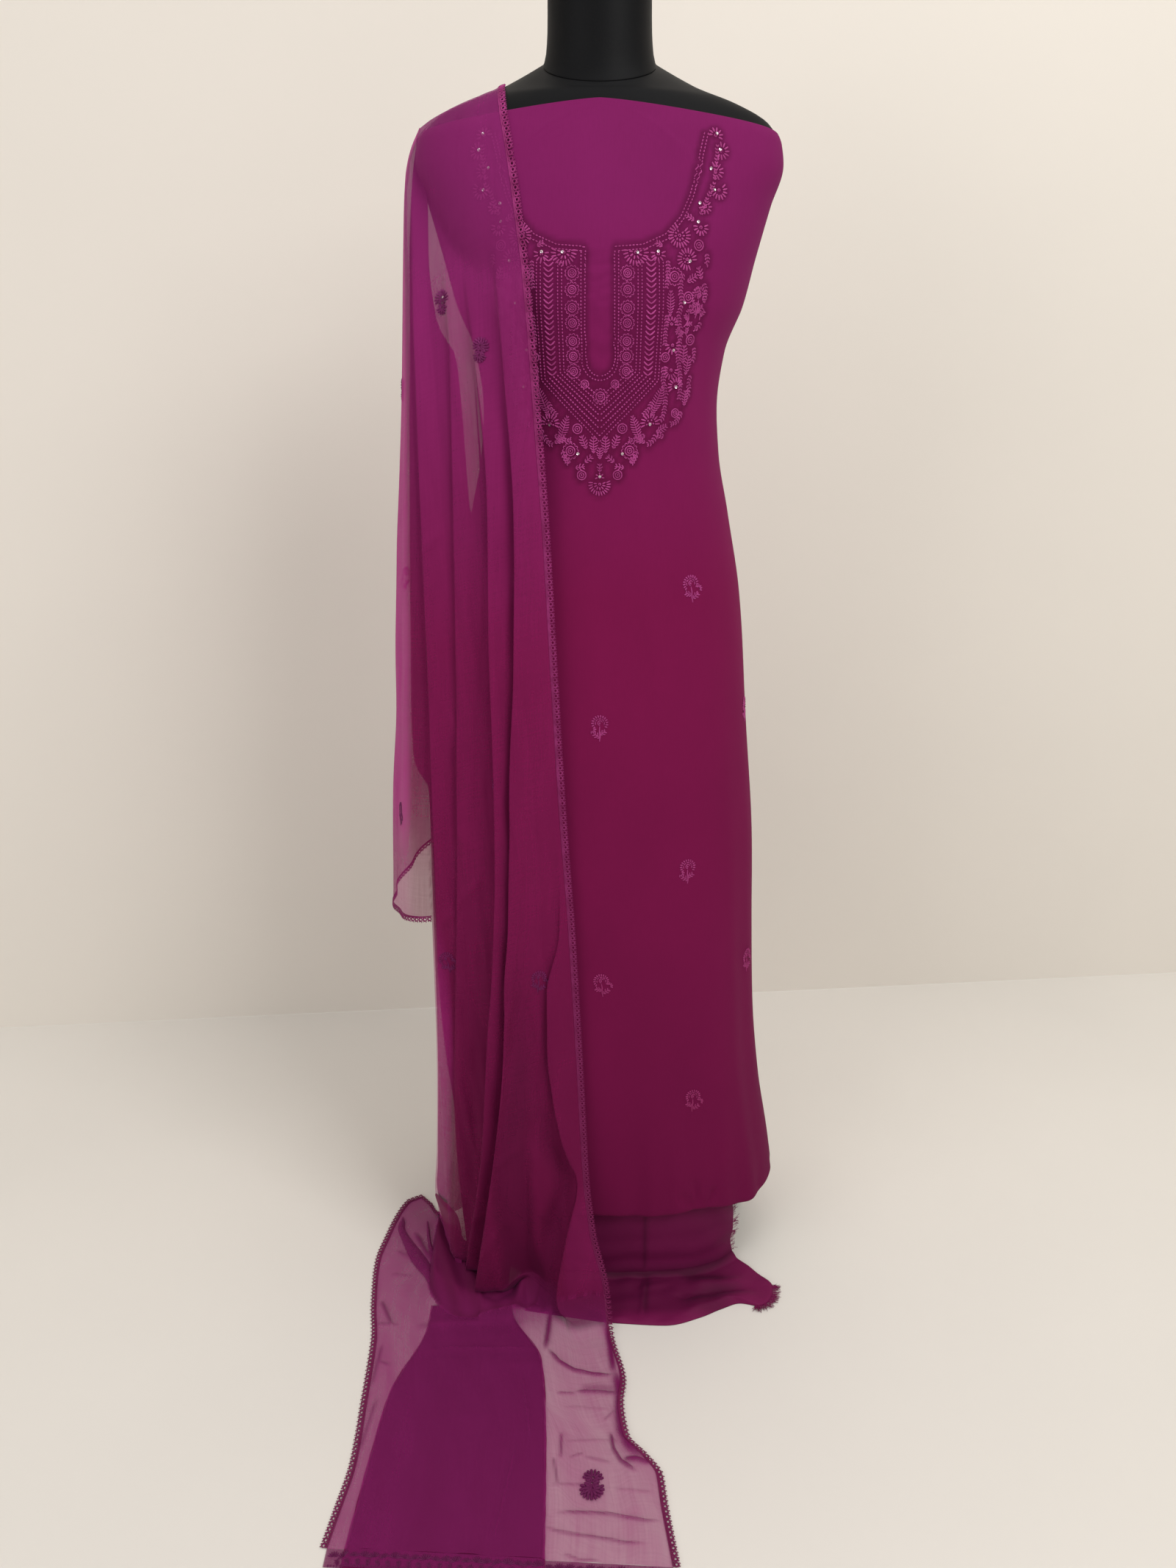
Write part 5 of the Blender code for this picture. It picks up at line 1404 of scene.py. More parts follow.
def lie(rows, x, z):
    """Depth at which a stretch hangs at (x, z), before its folds."""
    lace_x, outer_x = column(rows, "lace_x", z), column(rows, "outer_x", z)
    place = np.clip((lace_x - x) / (lace_x - outer_x), 0.0, 1.3)
    lace_y, outer_y = column(rows, "lace_y", z), column(rows, "outer_y", z)
    hang = lace_y + (outer_y - lace_y) * place ** column(rows, "bend", z)
    if rows is BACK_ROWS:
        return hang
    foot = np.interp(-x, [-k.x for k in FOOT_KNOTS], [-k.y for k in FOOT_KNOTS])
    stay = smooth(0.0, FOOT_MELT, z)
    return foot * (1.0 - stay) + hang * stay


def at_foot(places, name):
    """One named value of the foot of the front stretch, at places across it."""
    walk = np.linspace(0.0, 1.0, len(FOOT_KNOTS))
    return np.interp(places, walk, [getattr(k, name) for k in FOOT_KNOTS])


def hanging(rows, table, shares, places, foot_z, seed):
    """A stretch of chiffon from the shoulder ridge downwards, and where it lies in shade."""
    is_front = rows is FRONT_ROWS
    ridge_x = RIDGE_LACE_X + places * (RIDGE_OUTER_X - RIDGE_LACE_X)
    ridge_z = column(RIDGE_ROWS, "z", ridge_x, "x")
    z = ridge_z + (foot_z - ridge_z) * shares[:, None]
    lace_x, outer_x = column(rows, "lace_x", z), column(rows, "outer_x", z)
    x = lace_x + (outer_x - lace_x) * places
    if is_front:
        stay = smooth(0.0, FOOT_MELT, z)
        x = at_foot(places, "x") * (1.0 - stay) + x * stay
    out, lean, shade = folds(table, x, z)
    edge = smooth(0.0, 0.05, places) * smooth(0.0, 0.02, 1.0 - places) * smooth(0.0, 0.03, shares)[:, None]
    fine = 0.0011 * rough(x * 26.0, z * 4.5, seed) + 0.0006 * rough(x * 75.0, z * 9.0, seed + 1)
    hang = lie(rows, x, z)
    if is_front:
        fine += creased(x, z, FRONT_CREASES)
        for valley in VALLEYS:
            away = np.abs(x - column(valley, "edge", z)) / column(valley, "face", z)
            dip = column(valley, "rise", z) * (z <= valley[-1].z) * rounded(away)
            hang = hang - dip
            shade = np.maximum(shade, 0.8 * np.clip(dip / 0.014, 0.0, 1.0))
    body = body_depth(x, z, "front" if is_front else "back")
    y = np.maximum(hang, body + PLEAT_GAPS[2]) + out * edge
    y += fine * smooth(0.02, 0.35, shares)[:, None] * (0.35 + 0.65 * edge)
    grid = np.stack([x - lean * edge, -y if is_front else y, z], axis=-1)
    grid[0, :, 0] = ridge_x
    grid[0, :, 1] = 0.0
    return grid, shade * edge


# creases of the front stretch: start and end as (x, z), rise and width
FRONT_CREASES = rows_of(Mark,
    ((-1300, 5900), (-1960, 5000), 24, 30), ((-1280, 6000), (-1700, 6400), 14, 40),
    ((-1650, 9850), (-2000, 9300), 22, 30), ((-1900, 8500), (-1500, 7000), 16, 40),
    ((-1550, 7800), (-1700, 5600), 18, 35), ((-1800, 6200), (-1650, 3800), 16, 40),
    ((-1050, 2000), (-700, 2400), 20, 30), ((-1500, 1100), (-1050, 1500), 22, 34),
    ((-700, 8800), (-780, 6400), 12, 30), ((-750, 5600), (-900, 3500), 16, 35),
    ((-850, 7000), (-750, 6000), 12, 26), ((-1750, 3300), (-1600, 1800), 20, 36),
    ((-1200, 4800), (-1000, 4400), 16, 26), ((-900, 1300), (-1300, 600), 22, 40),
    ((-300, 1300), (-450, 300), 14, 34), ((-1500, 11500), (-1400, 10200), 12, 30),
)


def pleat(spans, behind, gap, rows, columns, seed):
    """One inner layer of the gathered front stretch, between two outlines."""
    z = np.linspace(spans[0].z, spans[-1].z, rows)[:, None]
    across = np.linspace(0.0, 1.0, columns)
    x = column(spans, "right", z) * (1.0 - across) + column(spans, "left", z) * across
    z = np.broadcast_to(z, x.shape)
    wave = 0.0016 * rough(x * 40.0, z * 3.5, seed)
    calm = smooth(1.37, 1.20, z)
    deep = np.maximum(lie(FRONT_ROWS, x, z) - behind * calm + wave * calm,
                      body_depth(x, z, "front") + gap)
    beyond = np.maximum(0.0, column(FRONT_ROWS, "outer_x", z) - x)
    return np.stack([x, -np.maximum(deep - 0.9 * beyond, 0.0012), z], axis=-1)


def rest_height(x, y):
    """Height of what lies under the chiffon on the floor."""
    left, right = column(PANEL_LEFT, "x", y, "y"), column(PANEL_RIGHT, "x", y, "y")
    across = smooth(left - 0.003, left + 0.003, x) * smooth(right + 0.003, right - 0.003, x)
    panel = across * smooth(-0.196, -0.204, y)
    front = column(POOL_FRONT[4:], "y", x, "x")
    pool = smooth(-0.004, 0.004, y - front) * smooth(-0.112, -0.098, x)
    return np.maximum(panel * (PANEL_HEIGHT + 0.0003), pool * (POOL_HEIGHT + 0.0006))


def gather_phase(x, y):
    return (x + 0.35 * y) * 2.0 * math.pi / 0.026


def toe(x, y):
    """How far behind the toe's line a point on the floor lies, and how high the gathers stand."""
    beside = smooth(-0.2300, -0.2180, x) * smooth(-0.0740, -0.0900, x)
    behind = np.maximum(0.0, y - column(TOE, "y", x, "x")) * beside
    ripple = 1.0 + 0.10 * np.sin(gather_phase(x, y))
    rise = smooth(0.0, 0.007, behind) * (0.30 + 0.70 * smooth(0.0, 0.036, behind))
    taper = 0.12 + 0.88 * smooth(-0.096, -0.140, x)
    return behind, rise * ripple * taper * TOE_HEIGHT


def floor_stretch(foot):
    """Chiffon on the floor, from the foot of the hanging stretch to the end border."""
    share = np.linspace(0.0, 1.0, len(foot))[:, None]
    steps = np.concatenate([np.linspace(0.0, 0.1, 16), np.linspace(0.106, 1.0, 172)])[:, None]
    right_y = foot[0, 1] + (FLOOR_RIGHT[0].y - foot[0, 1]) * steps
    right = np.concatenate([column(FLOOR_RIGHT, "x", right_y, "y"), right_y], axis=-1)
    flap = [[p.x, p.y] for p in FLAP_PATH]
    ys = np.linspace(0.007, FLOOR_LEFT[0].y, 60)[1:]
    path = np.concatenate([flap, np.stack([column(FLOOR_LEFT, "x", ys, "y"), ys], axis=-1)])
    path[0] = foot[-1, :2]
    walk = walk_along(path)
    gone = np.interp(steps[:, 0], (0.0, FLAP_SHARE, 1.0), (0.0, walk[len(flap) - 1], walk[-1]))
    ruled = right[:, None] * (1.0 - share) + read_at(path, walk, gone)[:, None] * share
    chord = foot[0, :2] * (1.0 - share) + foot[-1, :2] * share
    grid = np.zeros((len(steps), len(foot), 3))
    grid[..., :2] = ruled + smooth(0.30, 0.0, steps)[..., None] * (foot[:, :2] - chord)
    x, y = grid[..., 0], grid[..., 1]
    away = np.linalg.norm(grid[..., :2] - foot[None, :, :2], axis=-1)
    turned = foot[None, :, 2] * np.clip(1.0 - away / FOOT_TURN, 0.0, 1.0) ** 2
    calm = smooth(0.0, 0.03, away)
    lift = 0.0006 + 0.0005 * calm * (1.0 + rough(x * 28.0, y * 20.0, 71))
    lift += 0.0004 * calm * np.maximum(0.0, rough(x * 12.0, y * 70.0, 72))
    for crumple in FLOOR_CREASES:
        lift += crumple.rise * crease_along(x, y, crumple.points, crumple.width)
    edge = (smooth(0.0, 0.03, share) * smooth(0.0, 0.03, 1.0 - share))[:, 0]
    lift = 0.0005 + (lift - 0.0005) * (0.3 + 0.7 * edge)
    grid[..., 2] = np.maximum(np.maximum(rest_height(x, y) + lift, turned), toe(x, y)[1])
    grid[0] = foot
    return grid


def floor_tones(grid):
    """Where the floor stretch is painted darker as shade, near the foot, in the toe's gathers, along its
    creases, over the pool and below the hanging foot, or lighter as light coming through from the bare floor,
    and where it is see-through.
    """
    x, y = grid[..., 0], grid[..., 1]
    away = np.linalg.norm(grid[..., :2] - grid[:1, :, :2], axis=-1)
    behind, under = toe(x, y)[0], rest_height(x, y)
    near = np.exp(-(away / 0.046) ** 2) * smooth(-0.050, -0.085, x) * (behind <= 0.0)
    gathers = smooth(0.0, 0.003, behind)
    ribs = 0.5 + 0.5 * np.sin(gather_phase(x, y) + 1.2)
    rim = gathers * np.exp(-((behind - 0.002) / 0.004) ** 2) * smooth(-0.200, -0.170, x)
    bare = 1.0 - smooth(0.0004, 0.0020, under)
    marks = np.zeros_like(x)
    for crumple in FLOOR_CREASES:
        mark = crease_along(x, y, crumple.points, crumple.width * 0.8) * min(1.0, crumple.rise / 0.0036)
        marks = np.maximum(marks, mark)
    marks = marks * (1.0 - gathers)
    hanging_foot = smooth(0.004, 0.012, grid[..., 2]) * smooth(-0.085, -0.060, x)
    # painted shade; along creases the cloth is also made denser, as where it lies doubled
    dark = np.maximum.reduce([0.55 * near, 0.50 * marks, gathers * (0.72 + 0.24 * ribs) + 0.30 * rim,
                              0.78 * smooth(0.0034, 0.0044, under), 0.62 * hanging_foot])
    left = smooth(-0.190, -0.230, x)
    see_through = (0.35 + 0.65 * bare) * (1.0 - 0.75 * left) * (1.0 - dark) * (1.0 - near)
    # painted light where the floor under the chiffon is bare and lit
    lit = bare * (1.0 - gathers) * (1.0 - 0.35 * left) * (1.0 - hanging_foot)
    return dark - 0.62 * lit * (1.0 - marks), see_through * (1.0 - gathers) * (1.0 - marks) - 0.8 * marks


def floor_strip(knots):
    """A doubled strip of chiffon along its points on the floor, a little arched."""
    along = np.linspace(0.0, 1.0, 48)
    line = through(knots, along)
    path, half = line[:, :2], line[:, 2] * (1.0 + 0.15 * np.sin(along * 17.0))
    way = unit(np.gradient(path, axis=0))
    side = np.stack([-way[:, 1], way[:, 0]], axis=-1)
    across = np.linspace(-1.0, 1.0, 9)
    flat = path[:, None] + side[:, None] * (half[:, None] * across)[..., None]
    arch = 0.0030 * (1.0 - across ** 2) * (0.6 + 0.4 * np.sin(along * math.pi))[:, None]
    height = rest_height(flat[..., 0], flat[..., 1]) + 0.0022 + arch
    return np.concatenate([flat, height[..., None]], axis=-1)


# small crumples of the chiffon on the floor: how high and wide, and the points they run through
Crumple = namedtuple("Crumple", "rise width points")
FLOOR_CREASES = rows_of(Crumple,
    (40, 36, ((-620, -2040), (-647, -2438), (-672, -2760))),
    (36, 22, ((-680, -2660), (-493, -2911), (-302, -3044), (-80, -3098), (230, -3124))),
    (18, 18, ((-520, -3364), (-280, -3378))), (30, 20, ((-320, -3342), (-9, -3366), (300, -3391))),
    (10, 80, ((-250, -3290), (280, -3320))), (22, 17, ((-435, -3890), (-434, -4276))),
    (20, 17, ((-522, -4210), (-447, -4610))),
    (36, 22, ((118, -3880), (157, -4134), (237, -4284), (420, -4415))),
    (40, 64, ((165, -2960), (222, -3228), (232, -3439), (222, -3645), (246, -3893), (340, -4100),
              (520, -4310))),
    (38, 38, ((60, -2180), (130, -2672), (175, -3150))),
    (32, 32, ((250, -4255), (409, -4260), (580, -4310))),
    (24, 18, ((-520, -4900), (-125, -4903), (101, -4920), (488, -4995), (700, -4990))),
    (20, 18, ((-640, -5040), (-422, -5119), (-176, -5160), (99, -5200), (258, -5240), (540, -5240))),
    (14, 18, ((-400, -5350), (-210, -5422), (20, -5442))), (13, 18, ((40, -3760), (200, -3600))),
    (11, 18, ((-350, -4245), (-170, -4175))), (11, 20, ((-180, -4215), (140, -4315))),
    (8, 17, ((-440, -4024), (-50, -4012), (320, -4026))), (10, 18, ((-560, -4560), (-100, -4570))),
    (8, 18, ((130, -4620), (600, -4660))), (6, 20, ((-450, -3560), (150, -3600))),
    (6, 40, ((-400, -2400), (0, -2380))), (26, 24, ((-2850, -1900), (-2620, -2360))),
    (30, 42, ((-2620, -600), (-2350, -1100), (-1950, -1500))),
    (20, 22, ((-2800, -1000), (-2500, -1200))), (18, 22, ((-2700, -2600), (-2720, -3300))),
    (16, 24, ((-2620, -3400), (-2700, -4200))), (20, 60, ((-2400, -2350), (-900, -2280))),
    (12, 22, ((-2080, -2720), (-750, -2720))), (16, 50, ((-2100, -5450), (-1100, -5400))),
    (16, 20, ((-927, -3146), (-781, -4042))), (16, 22, ((-930, -4042), (-1103, -5321))),
    (16, 18, ((-2790, -1450), (-2460, -1485))), (18, 18, ((-2850, -2300), (-2520, -2335))),
    (14, 18, ((-2780, -2895), (-2520, -2955))),
)


def side_stretch(front_edge, back_edge, turns):
    """The stretch off the shoulder's end, from the front stretch's edge to the back's."""
    z_front, z_back = front_edge[:, 2:], back_edge[:, 2:]
    z = z_front + (z_back - z_front) * turns
    dip = curve([0.0, 0.5, 1.0], SIDE_HEM, turns) - np.interp(turns, (0, 1), SIDE_HEM[::2])
    z = z + dip * smooth(0.75, 0.5, z_front)
    sine = np.sin(turns * math.pi)
    soft = smooth(0.0, 0.5, 1.30 - z)
    pinch = 0.005 * soft * np.sin(turns * math.pi * 5.0 + 0.6) ** 2 * sine
    fine = 0.0014 * rough(turns * 7.0, z * 5.0, 81) * soft * sine
    near = np.where(turns <= 0.5, front_edge[:, :1], back_edge[:, :1])
    deep = np.where(turns <= 0.5, front_edge[:, 1:2], -back_edge[:, 1:2])
    x = near - (column(SIDE_ROWS, "reach", z) + near) * sine + pinch + fine
    grid = np.stack([x, deep * np.cos(turns * math.pi), z], axis=-1)
    grid[:, 0] = front_edge
    grid[:, -1] = back_edge
    return grid


# the inner layers: their spans, how far behind the front stretch, their gap over the kameez,
# their rows and columns, and the seed of their waves
INNER_LAYERS = (
    (PLEATS, 0.010, PLEAT_GAPS[0], 130, 40, 63), (PLEATS, 0.006, PLEAT_GAPS[1], 130, 40, 64),
    (OUTER_PLEAT, 0.004, PLEAT_GAPS[1], 90, 22, 66), (TUCK, -0.002, PLEAT_GAPS[1], 40, 22, 67),
)
# painted shade of the inner layers and the floor's strips, and painted light below 0, as on the tuck
LAYER_SHADES = (0.35, 0.35, 0.35, -0.05, 0.20, 0.20)    # of the inner layers and the floor's strips
DOUBLED = (0, 0, 0, 0, 1, 1, 0, 1, 0, 0)                # the four stretches first, then these


def front_tones(front, shade, places):
    """Where the front stretch is painted darker as shade, in its folds, gathers and the band beside its outer
    strip, or lighter as light, along its thin outer strip and low on the flap, and where it is see-through.
    """
    x, z = front[..., 0], front[..., 2]
    # painted light along the thin outer strip low down; painted shade in the gathers near the foot and in the
    # band beside the outer strip
    outer = smooth(0.80, 0.97, places)[None, :] * smooth(0.62, 0.35, z)
    gathered = smooth(0.100, 0.035, z) * smooth(-0.055, -0.085, x)
    band = smooth(-0.125, -0.145, x) * smooth(1.15, 1.00, z) * (1.0 - outer)
    shade = np.clip(shade + 0.5 * gathered + 0.15 * band, 0.0, 1.0) * (1.0 - outer) - 0.8 * outer
    # painted light low on the flap
    flap = smooth(-0.050, -0.036, x) * smooth(0.190, 0.140, z)
    return shade - 0.07 * flap * (1.0 - shade), 1.10 * outer + 0.6 * smooth(1.20, 1.28, z)


def side_tones(side, turns):
    low_side = smooth(0.66, 0.54, side[..., 2])
    edges = smooth(0.19, 0.09, turns) + smooth(0.81, 0.91, turns)
    # painted light over the side stretch, less low down, and painted shade along its two edges higher up
    shade = (-0.95 + 0.40 * low_side) * (1.0 - edges) + 0.20 * edges * (1.0 - low_side)
    return shade, 0.80 * low_side


def dupatta_stretches(form, kameez):
    """The hanging stretches and the one on the floor, each with its tones."""
    places, back_places = np.linspace(0.0, 1.0, FRONT_COLUMNS), np.linspace(0.0, 1.0, BACK_COLUMNS)
    shares = np.concatenate([0.04 * np.linspace(0.0, 1.0, 13) ** 1.3, np.linspace(0.044, 1.0, 187)])
    front, shade = hanging(FRONT_ROWS, FRONT_FOLDS, shares, places, FOOT_LIFT, 61)
    front[..., 2] += at_foot(places, "height") * smooth(FOOT_MELT, 0.0, front[..., 2])
    front = clear_of(front, (form, kameez), -1.0)

    edge_z = front[:, -1, 2]
    rows = int(np.argmin(np.abs(edge_z - SIDE_HEM[0]))) + 1
    drop = (SIDE_HEM[2] - SIDE_HEM[0]) * smooth(0.80, SIDE_HEM[0], edge_z[:rows])
    back_shares = (edge_z[0] - edge_z[:rows] - drop) / (edge_z[0] - BACK_HEM)
    back, back_shade = hanging(BACK_ROWS, BACK_FOLDS, back_shares, back_places, BACK_HEM, 65)
    back = clear_of(back, (form, kameez), 1.0)
    back[0] = read_at(front[0], places, back_places)
    turns = np.linspace(0.0, 1.0, SIDE_COLUMNS)
    side = side_stretch(front[:rows, -1], back[:, -1], turns)
    floor = floor_stretch(front[-1])
    # the back stretch's fold shade less 0.3, so that it is painted lighter as light
    tones = [front_tones(front, shade, places), side_tones(side, turns),
             (back_shade[:, ::-1] - 0.3, np.zeros(back.shape[:2])), floor_tones(floor)]
    return (front, side, back, floor), tones


def build_dupatta(form, kameez):
    stretches, tones = dupatta_stretches(form, kameez)
    front, side, back, floor = stretches
    layers = [pleat(*row) for row in INNER_LAYERS] + [floor_strip(knots) for knots in FLOOR_STRIPS]
    tones += [(np.full(layer.shape[:2], tone), np.zeros(layer.shape[:2]))
              for layer, tone in zip(layers, LAYER_SHADES)]
    parts = [front, side, back[:, ::-1], floor] + layers
    slots = [np.full((len(part) - 1, part.shape[1] - 1), twice, np.int32)
             for part, twice in zip(parts, DOUBLED)]
    slots[3][toe(floor[:-1, :-1, 0], floor[:-1, :-1, 1])[0] > 0.001] = 1
    uvs = np.concatenate([walked(part).reshape(-1, 2) for part in parts])
    mesh = mesh_from("dupatta_look", *joined(parts), uvs)
    for name, values in zip(("painted_shading", "thin"), zip(*tones)):
        noted(mesh, name, np.concatenate([v.ravel() for v in values]))
    made = finished("dupatta_look", mesh, "chiffon")
    mesh.materials.append(LOOKS["doubled chiffon"])
    mesh.polygons.foreach_set("material_index", np.concatenate([s.ravel() for s in slots]))
    welded(made)
    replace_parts(made, "dupatta_front", "dupatta_side", "dupatta_back", "dupatta_floor")
    return made, stretches


# ------------------------------------------------------------------ lace and end border
def lace_strip(name, node, edge, away, lean):
    """Crochet edging: a cord, a chain of rings with round holes, and small picots."""
    walk = walk_along(edge)
    count = max(2, int(round(walk[-1] / LACE_PITCH)))
    half = walk[-1] / count / 2.0
    fine = np.linspace(0.0, walk[-1], count * 2 + 1)
    strokes = []
    for off, wide in LACE_CORDS:
        path = read_at(edge, walk, fine) + read_at(away, walk, fine) * off
        strokes.append((path, read_at(lean, walk, fine), wide, wide))
    angles = np.radians(np.linspace(0.0, 360.0, 9))[:, None]
    for k in range(count):
        spot, out, up = (read_at(v, walk, (k + 0.5) * walk[-1] / count) for v in (edge, away, lean))
        along = unit(np.cross(up, out))
        middle = spot + out * RING_OFF
        ring = middle + np.cos(angles) * along * (half * 0.76) + np.sin(angles) * out * RING_RADIUS
        strokes.append((ring, np.tile(up, (9, 1)), 0.00098, 0.0010))
        for shift in (-0.5, 0.5):
            base = middle + out * 0.0025 + along * half * shift
            loop = base + np.array([along * -0.0008, out * 0.0011, along * 0.0008])
            strokes.append((loop, np.tile(up, (3, 1)), 0.00055, 0.0006))
    made = strokes_mesh(name, strokes, "lace")
    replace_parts(made, node)
    return made


def outwards_of(grid, k):
    return unit(grid[:, k] - grid[:, 1 if k == 0 else -2])


def build_lace(front, side, back, floor):
    level, low, up = floor * LEVEL, floor + 0.0003 * UP, np.tile(UP, (len(floor), 1))
    edges = (
        ("front", front[:, 0], outwards_of(front, 0), normals(front)[:, 0]),
        ("back", back[:, 0], outwards_of(back, 0), -normals(back)[:, 0]),
        ("side", side[-1], unit(side[-1] - side[-3]), normals(side)[-1]),
        ("floor_right", low[:, 0], outwards_of(level, 0), up),
        ("floor_left", low[:, -1], outwards_of(level, -1), up),
    )
    return [lace_strip("lace_%s_look" % name, "dupatta_lace_" + name, *edge) for name, *edge in edges]


def build_border(floor):
    """The embroidered end border: close scallops over a narrow band of chiffon."""
    edge = floor[-1]
    band = np.stack([edge - np.array([0.0, depth, 0.0]) for depth in np.linspace(0.0, BORDER_DEPTH, 9)])
    band[..., 2] = rest_height(band[..., 0], band[..., 1]) + 0.0009
    made = cloth_piece("border_look", band, "chiffon", "dupatta_border")
    cloth = Cloth(tree_of(band), lambda point: UP)

    def place(x, off, shift=0.0):
        return x + shift, float(np.interp(-x, -edge[:, 0], edge[:, 1])) - off, 0.002

    for k, x in enumerate(np.arange(-0.272, 0.068, SCALLOP_PITCH)):
        lean = math.radians(18.0 * math.sin(1.7 * k))
        cloth.motif(place(x, 0.009), fan(2.2, 6.2, 20, 160, 7, 0.7) + fan(1.0, 2.4, 30, 150, 4, 0.55),
                    1.0 + 0.15 * math.sin(2.3 * k), lean)
        cloth.motif(place(x, 0.015, 0.005), moved(leaf(6.0, 2.2), 0, -2.5), 1.0, lean + 0.4)
    for off in RUN_LINES:
        for x in np.arange(-0.276, 0.070, RUN_PITCH):
            cloth.stitch(place(x, off), [(-0.0009, 0.0), (0.0, 0.0), (0.0009, 0.0)], 0.0006)
    return made, strokes_mesh("border_stitches", cloth.strokes, "sheer thread")


# ------------------------------------------------------------------ frayed edges
def fray(name, node, path, away, up, reach, strands, seed):
    """Loose thread ends along a cut edge, each a fine bent tube."""
    dice = np.random.default_rng(seed)
    walk = walk_along(path)
    strokes = []
    for s in np.sort(dice.uniform(0.0, walk[-1], strands)):
        spot, out = read_at(path, walk, s), read_at(away, walk, s)
        along = read_at(path, walk, s + 0.004) - spot
        along /= max(np.linalg.norm(along), 1e-6)
        long = reach * dice.uniform(0.35, 1.0)
        sway, lift = dice.uniform(-0.7, 0.7), dice.uniform(-0.25, 0.25)
        tip = spot + out * long + along * sway * long * 0.6 + up * lift * long * 0.5
        middle = spot + out * long * 0.5 + along * sway * long * 0.1 + up * lift * long * 0.1
        points = np.array([spot - out * 0.001, middle, tip])
        points[:, 2] = np.maximum(points[:, 2], 0.0006)
        strokes.append((points, np.tile(up, (3, 1)), FRAY_WIDE, FRAY_WIDE))
    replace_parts(strokes_mesh(name, strokes, "salwar"), node)


def build_frays(salwar):
    edge, inner = (salwar[-FRAY_ROWS:, k][::-1] for k in (0, 1))
    fray("fray_edge_look", "salwar_fray_edge", edge, unit(edge - inner), np.array([0.4, -0.9, 0.0]),
         *EDGE_FRAY)
    line = pool_edge(np.linspace(0.0, 0.36, 40))
    path = np.concatenate([line, np.full((40, 1), 0.0015)], axis=-1)
    away = unit(np.cross(np.gradient(path, axis=0), UP))
    away *= 1.0 if away[0, 0] > 0.0 else -1.0
    fray("fray_floor_look", "salwar_fray_floor", path, away, UP, *FLOOR_FRAY)


# ------------------------------------------------------------------ room, light and camera
def plane(name, centre, across, up, look):
    centre, across, up = (np.array(v, float) for v in (centre, across, up))
    points = [centre - across - up, centre + across - up, centre + across + up, centre - across + up]
    made = bpy.data.objects.new(name, mesh_from(name, points, [[0, 1, 2, 3]]))
    bpy.context.scene.collection.objects.link(made)
    made.data.materials.append(look)
    return made


def one_sided(look):
    """Lets light and sight through from behind, so that the wall never hides the object."""
    nodes, link = look.node_tree.nodes, look.node_tree.links.new
    mix = nodes.new("ShaderNodeMixShader")
    link(nodes.new("ShaderNodeNewGeometry").outputs["Backfacing"], mix.inputs[0])
    link(nodes["Principled BSDF"].outputs[0], mix.inputs[1])
    link(nodes.new("ShaderNodeBsdfTransparent").outputs[0], mix.inputs[2])
    link(mix.outputs[0], nodes["Material Output"].inputs["Surface"])
    return look


def area_light(name, place, aim, size, power, colour):
    data = bpy.data.lights.new(name, "AREA")
    data.shape = "RECTANGLE"
    data.size, data.size_y = size
    data.energy = power
    data.color = colour
    made = bpy.data.objects.new(name, data)
    made.location = place
    made.rotation_euler = (Vector(aim) - Vector(place)).to_track_quat("-Z", "Y").to_euler()
    bpy.context.scene.collection.objects.link(made)


LIGHTS = (       # place, aim, size, power and colour
    ("key", (1.7, -2.0, 3.0), (0.0, 0.0, 0.9), (1.5, 1.2), 54.0, (1.0, 0.985, 0.97)),
    ("fill", (-2.2, -2.4, 1.7), (0.0, 0.0, 0.7), (2.0, 2.0), 24.0, (0.98, 0.98, 1.0)),
    ("top", (0.2, -0.5, 3.4), (0.0, 0.0, 0.5), (2.2, 1.6), 15.0, (1.0, 0.99, 0.97)),
    ("behind", (0.4, 3.2, 2.4), (0.0, 0.0, 0.9), (2.4, 2.0), 30.0, (1.0, 0.98, 0.95)),
)


def build_stage():
    floor_look = plain_look("pale floor", (0.80, 0.77, 0.72), 0.6, 0.05)
    plane("floor", (0, 0.6, -0.0004), (6, 0, 0), (0, 6, 0), floor_look)
    wall_look = one_sided(plain_look("pale wall", (0.80, 0.755, 0.69), 0.9, 0.04))
    plane("wall", (0.05, 0.575, 2.0), (6.0, 0.55, 0.0), (0.0, 0.0, 2.0), wall_look)
    for light in LIGHTS:
        area_light(*light)
    world = bpy.data.worlds.new("room")
    world.use_nodes = True
    back = world.node_tree.nodes["Background"]
    back.inputs["Color"].default_value = (0.93, 0.90, 0.86, 1.0)
    back.inputs["Strength"].default_value = 0.52
    bpy.context.scene.world = world
    bpy.context.scene.view_settings.view_transform = "Standard"


def build_camera():
    photo_width, photo_height = 1600.0, 2133.0
    focal, axis_column, sensor = 1602.0, 816.0, 36.0
    data = bpy.data.cameras.new("camera")
    data.sensor_fit = "VERTICAL"
    data.sensor_height = sensor
    data.lens = focal / photo_height * sensor
    data.shift_x = (photo_width / 2.0 - axis_column) / photo_height
    made = bpy.data.objects.new("camera", data)
    made.location = (0.0, -1.40, 1.155)
    made.rotation_euler = (math.radians(70.0), 0.0, 0.0)
    bpy.context.scene.collection.objects.link(made)
    bpy.context.scene.camera = made


# ------------------------------------------------------------------ everything together
def kameez_outward(point):
    return np.array([point[0], point[1], 0.02])


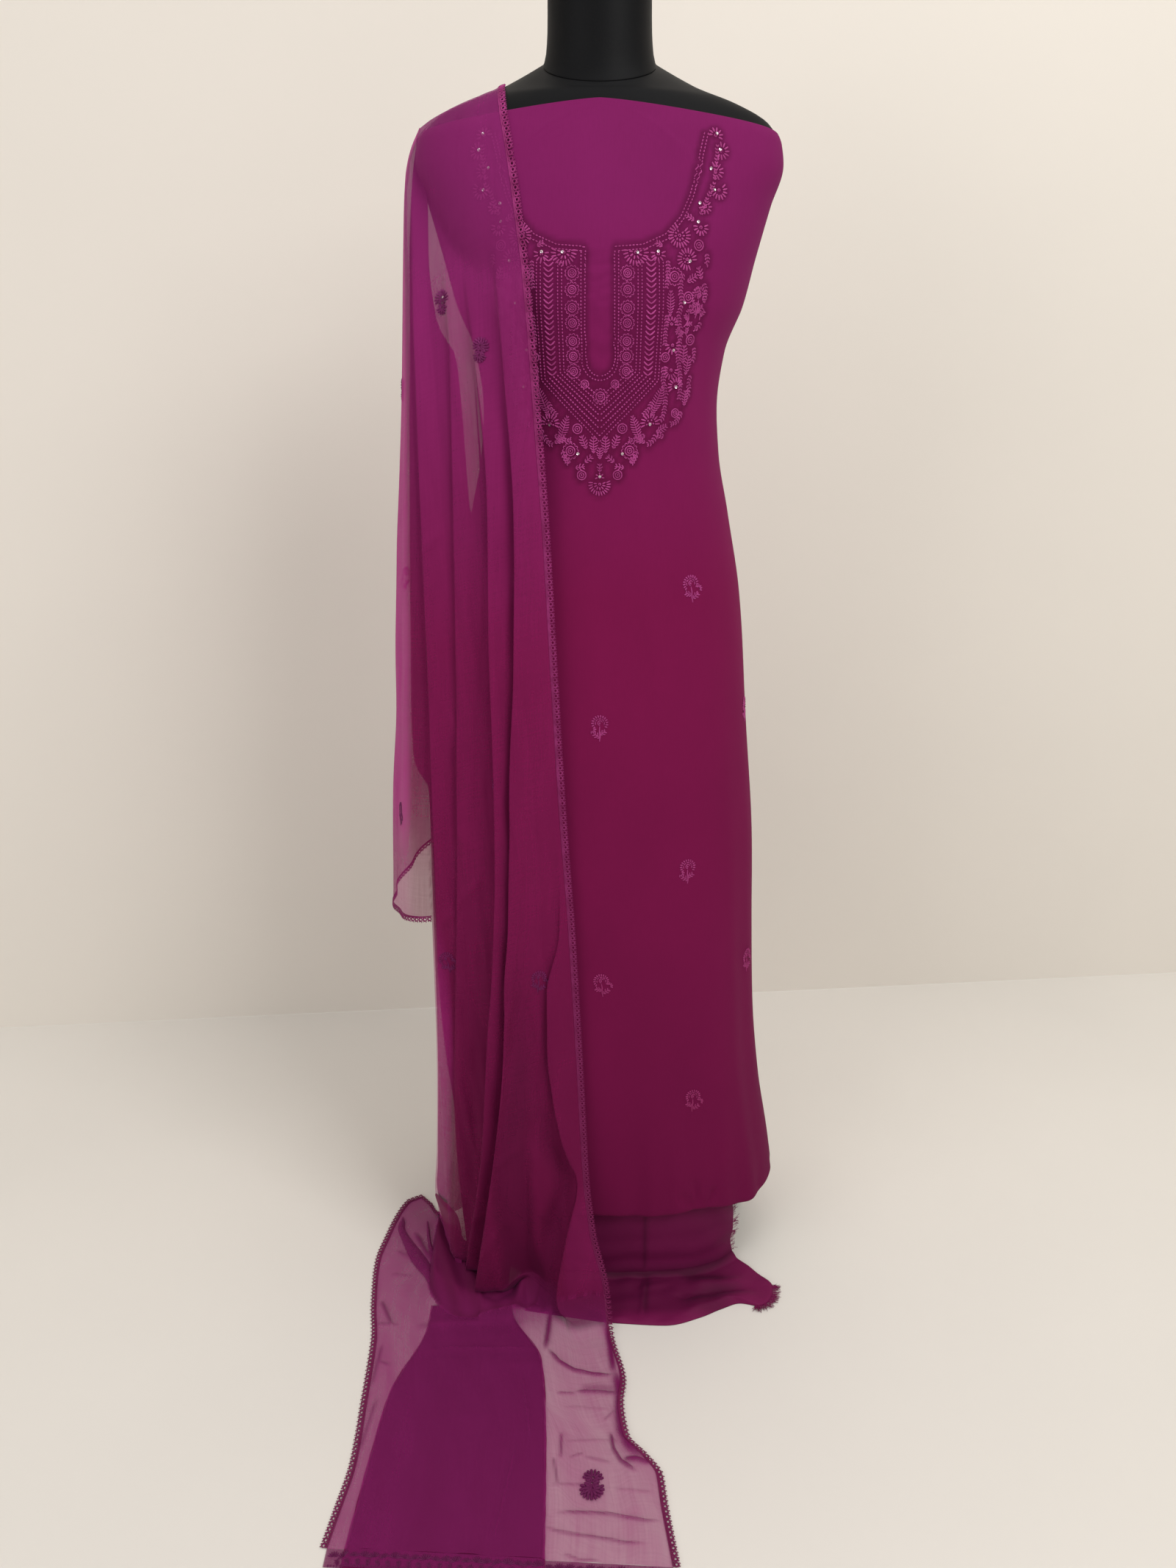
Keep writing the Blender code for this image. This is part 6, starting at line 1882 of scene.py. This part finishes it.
def build_all():
    build_camera()
    build_stage()
    form = build_form()
    kameez, kameez_piece = build_kameez()
    salwar = build_salwar()
    build_panel()
    build_frays(salwar)

    cloth = Cloth(tree_of(kameez), kameez_outward)
    yoke(cloth)
    strokes_mesh("yoke_stitches", cloth.strokes, "thread")
    # painted shade on the kameez round the yoke's stitches
    paint_shade_near_stitches(kameez_piece, cloth.strokes)
    sequin_mesh("yoke_sequins", cloth.sequins)
    cloth.strokes = []
    scatter_bootis(cloth)
    strokes_mesh("kameez_bootis", cloth.strokes, "thread")

    bare = tree_of(np.concatenate([form, form[:, :1]], axis=1))
    dupatta, stretches = build_dupatta(bare, tree_of(kameez))
    laces = build_lace(*stretches)
    border, border_stitches = build_border(stretches[-1])

    sheer = Cloth(tree_of(*stretches), sheer_outward)
    for centre, turn in DUPATTA_BOOTIS:
        on_floor = centre[2] < 0.01
        threads = cluster() if on_floor or centre[2] > 1.0 else booti(1)
        scale = FLOOR_BOOTI_SCALE if on_floor else SHEER_BOOTI_SCALE
        sheer.motif(centre, threads, scale, math.radians(turn))
    for centre in DUPATTA_SEQUINS:
        sheer.sequin(centre)
    strokes_mesh("dupatta_bootis", sheer.strokes, "sheer thread")
    sequin_mesh("dupatta_sequins", sheer.sequins)


def sheer_outward(point):
    return np.array([point[0] * 0.3 - 0.02, point[1], 0.6 if point[2] < 0.02 else 0.05])


DUPATTA_BOOTIS = (
    ((-0.164, -0.077, 1.207), 8), ((-0.123, -0.104, 1.160), -10), ((-0.185, -0.130, 0.464), 12),
    ((-0.073, -0.160, 0.453), -6), ((-0.117, -0.145, 0.695), 5), ((-0.240, -0.084, 0.638), 0),
    ((-0.008, -0.458, 0.001), 175), ((-0.120, 0.130, 1.100), 10), ((-0.160, 0.125, 0.850), -8),
    ((-0.110, 0.140, 0.700), 6), ((-0.235, 0.030, 0.900), -5), ((-0.225, -0.020, 1.120), 4),
)
FLOOR_BOOTI_SCALE = 1.7
SHEER_BOOTI_SCALE = 1.15
DUPATTA_SEQUINS = (
    (-0.193, -0.128, 0.466), (-0.163, -0.079, 1.212), (-0.160, 0.125, 0.855),
)

build_all()
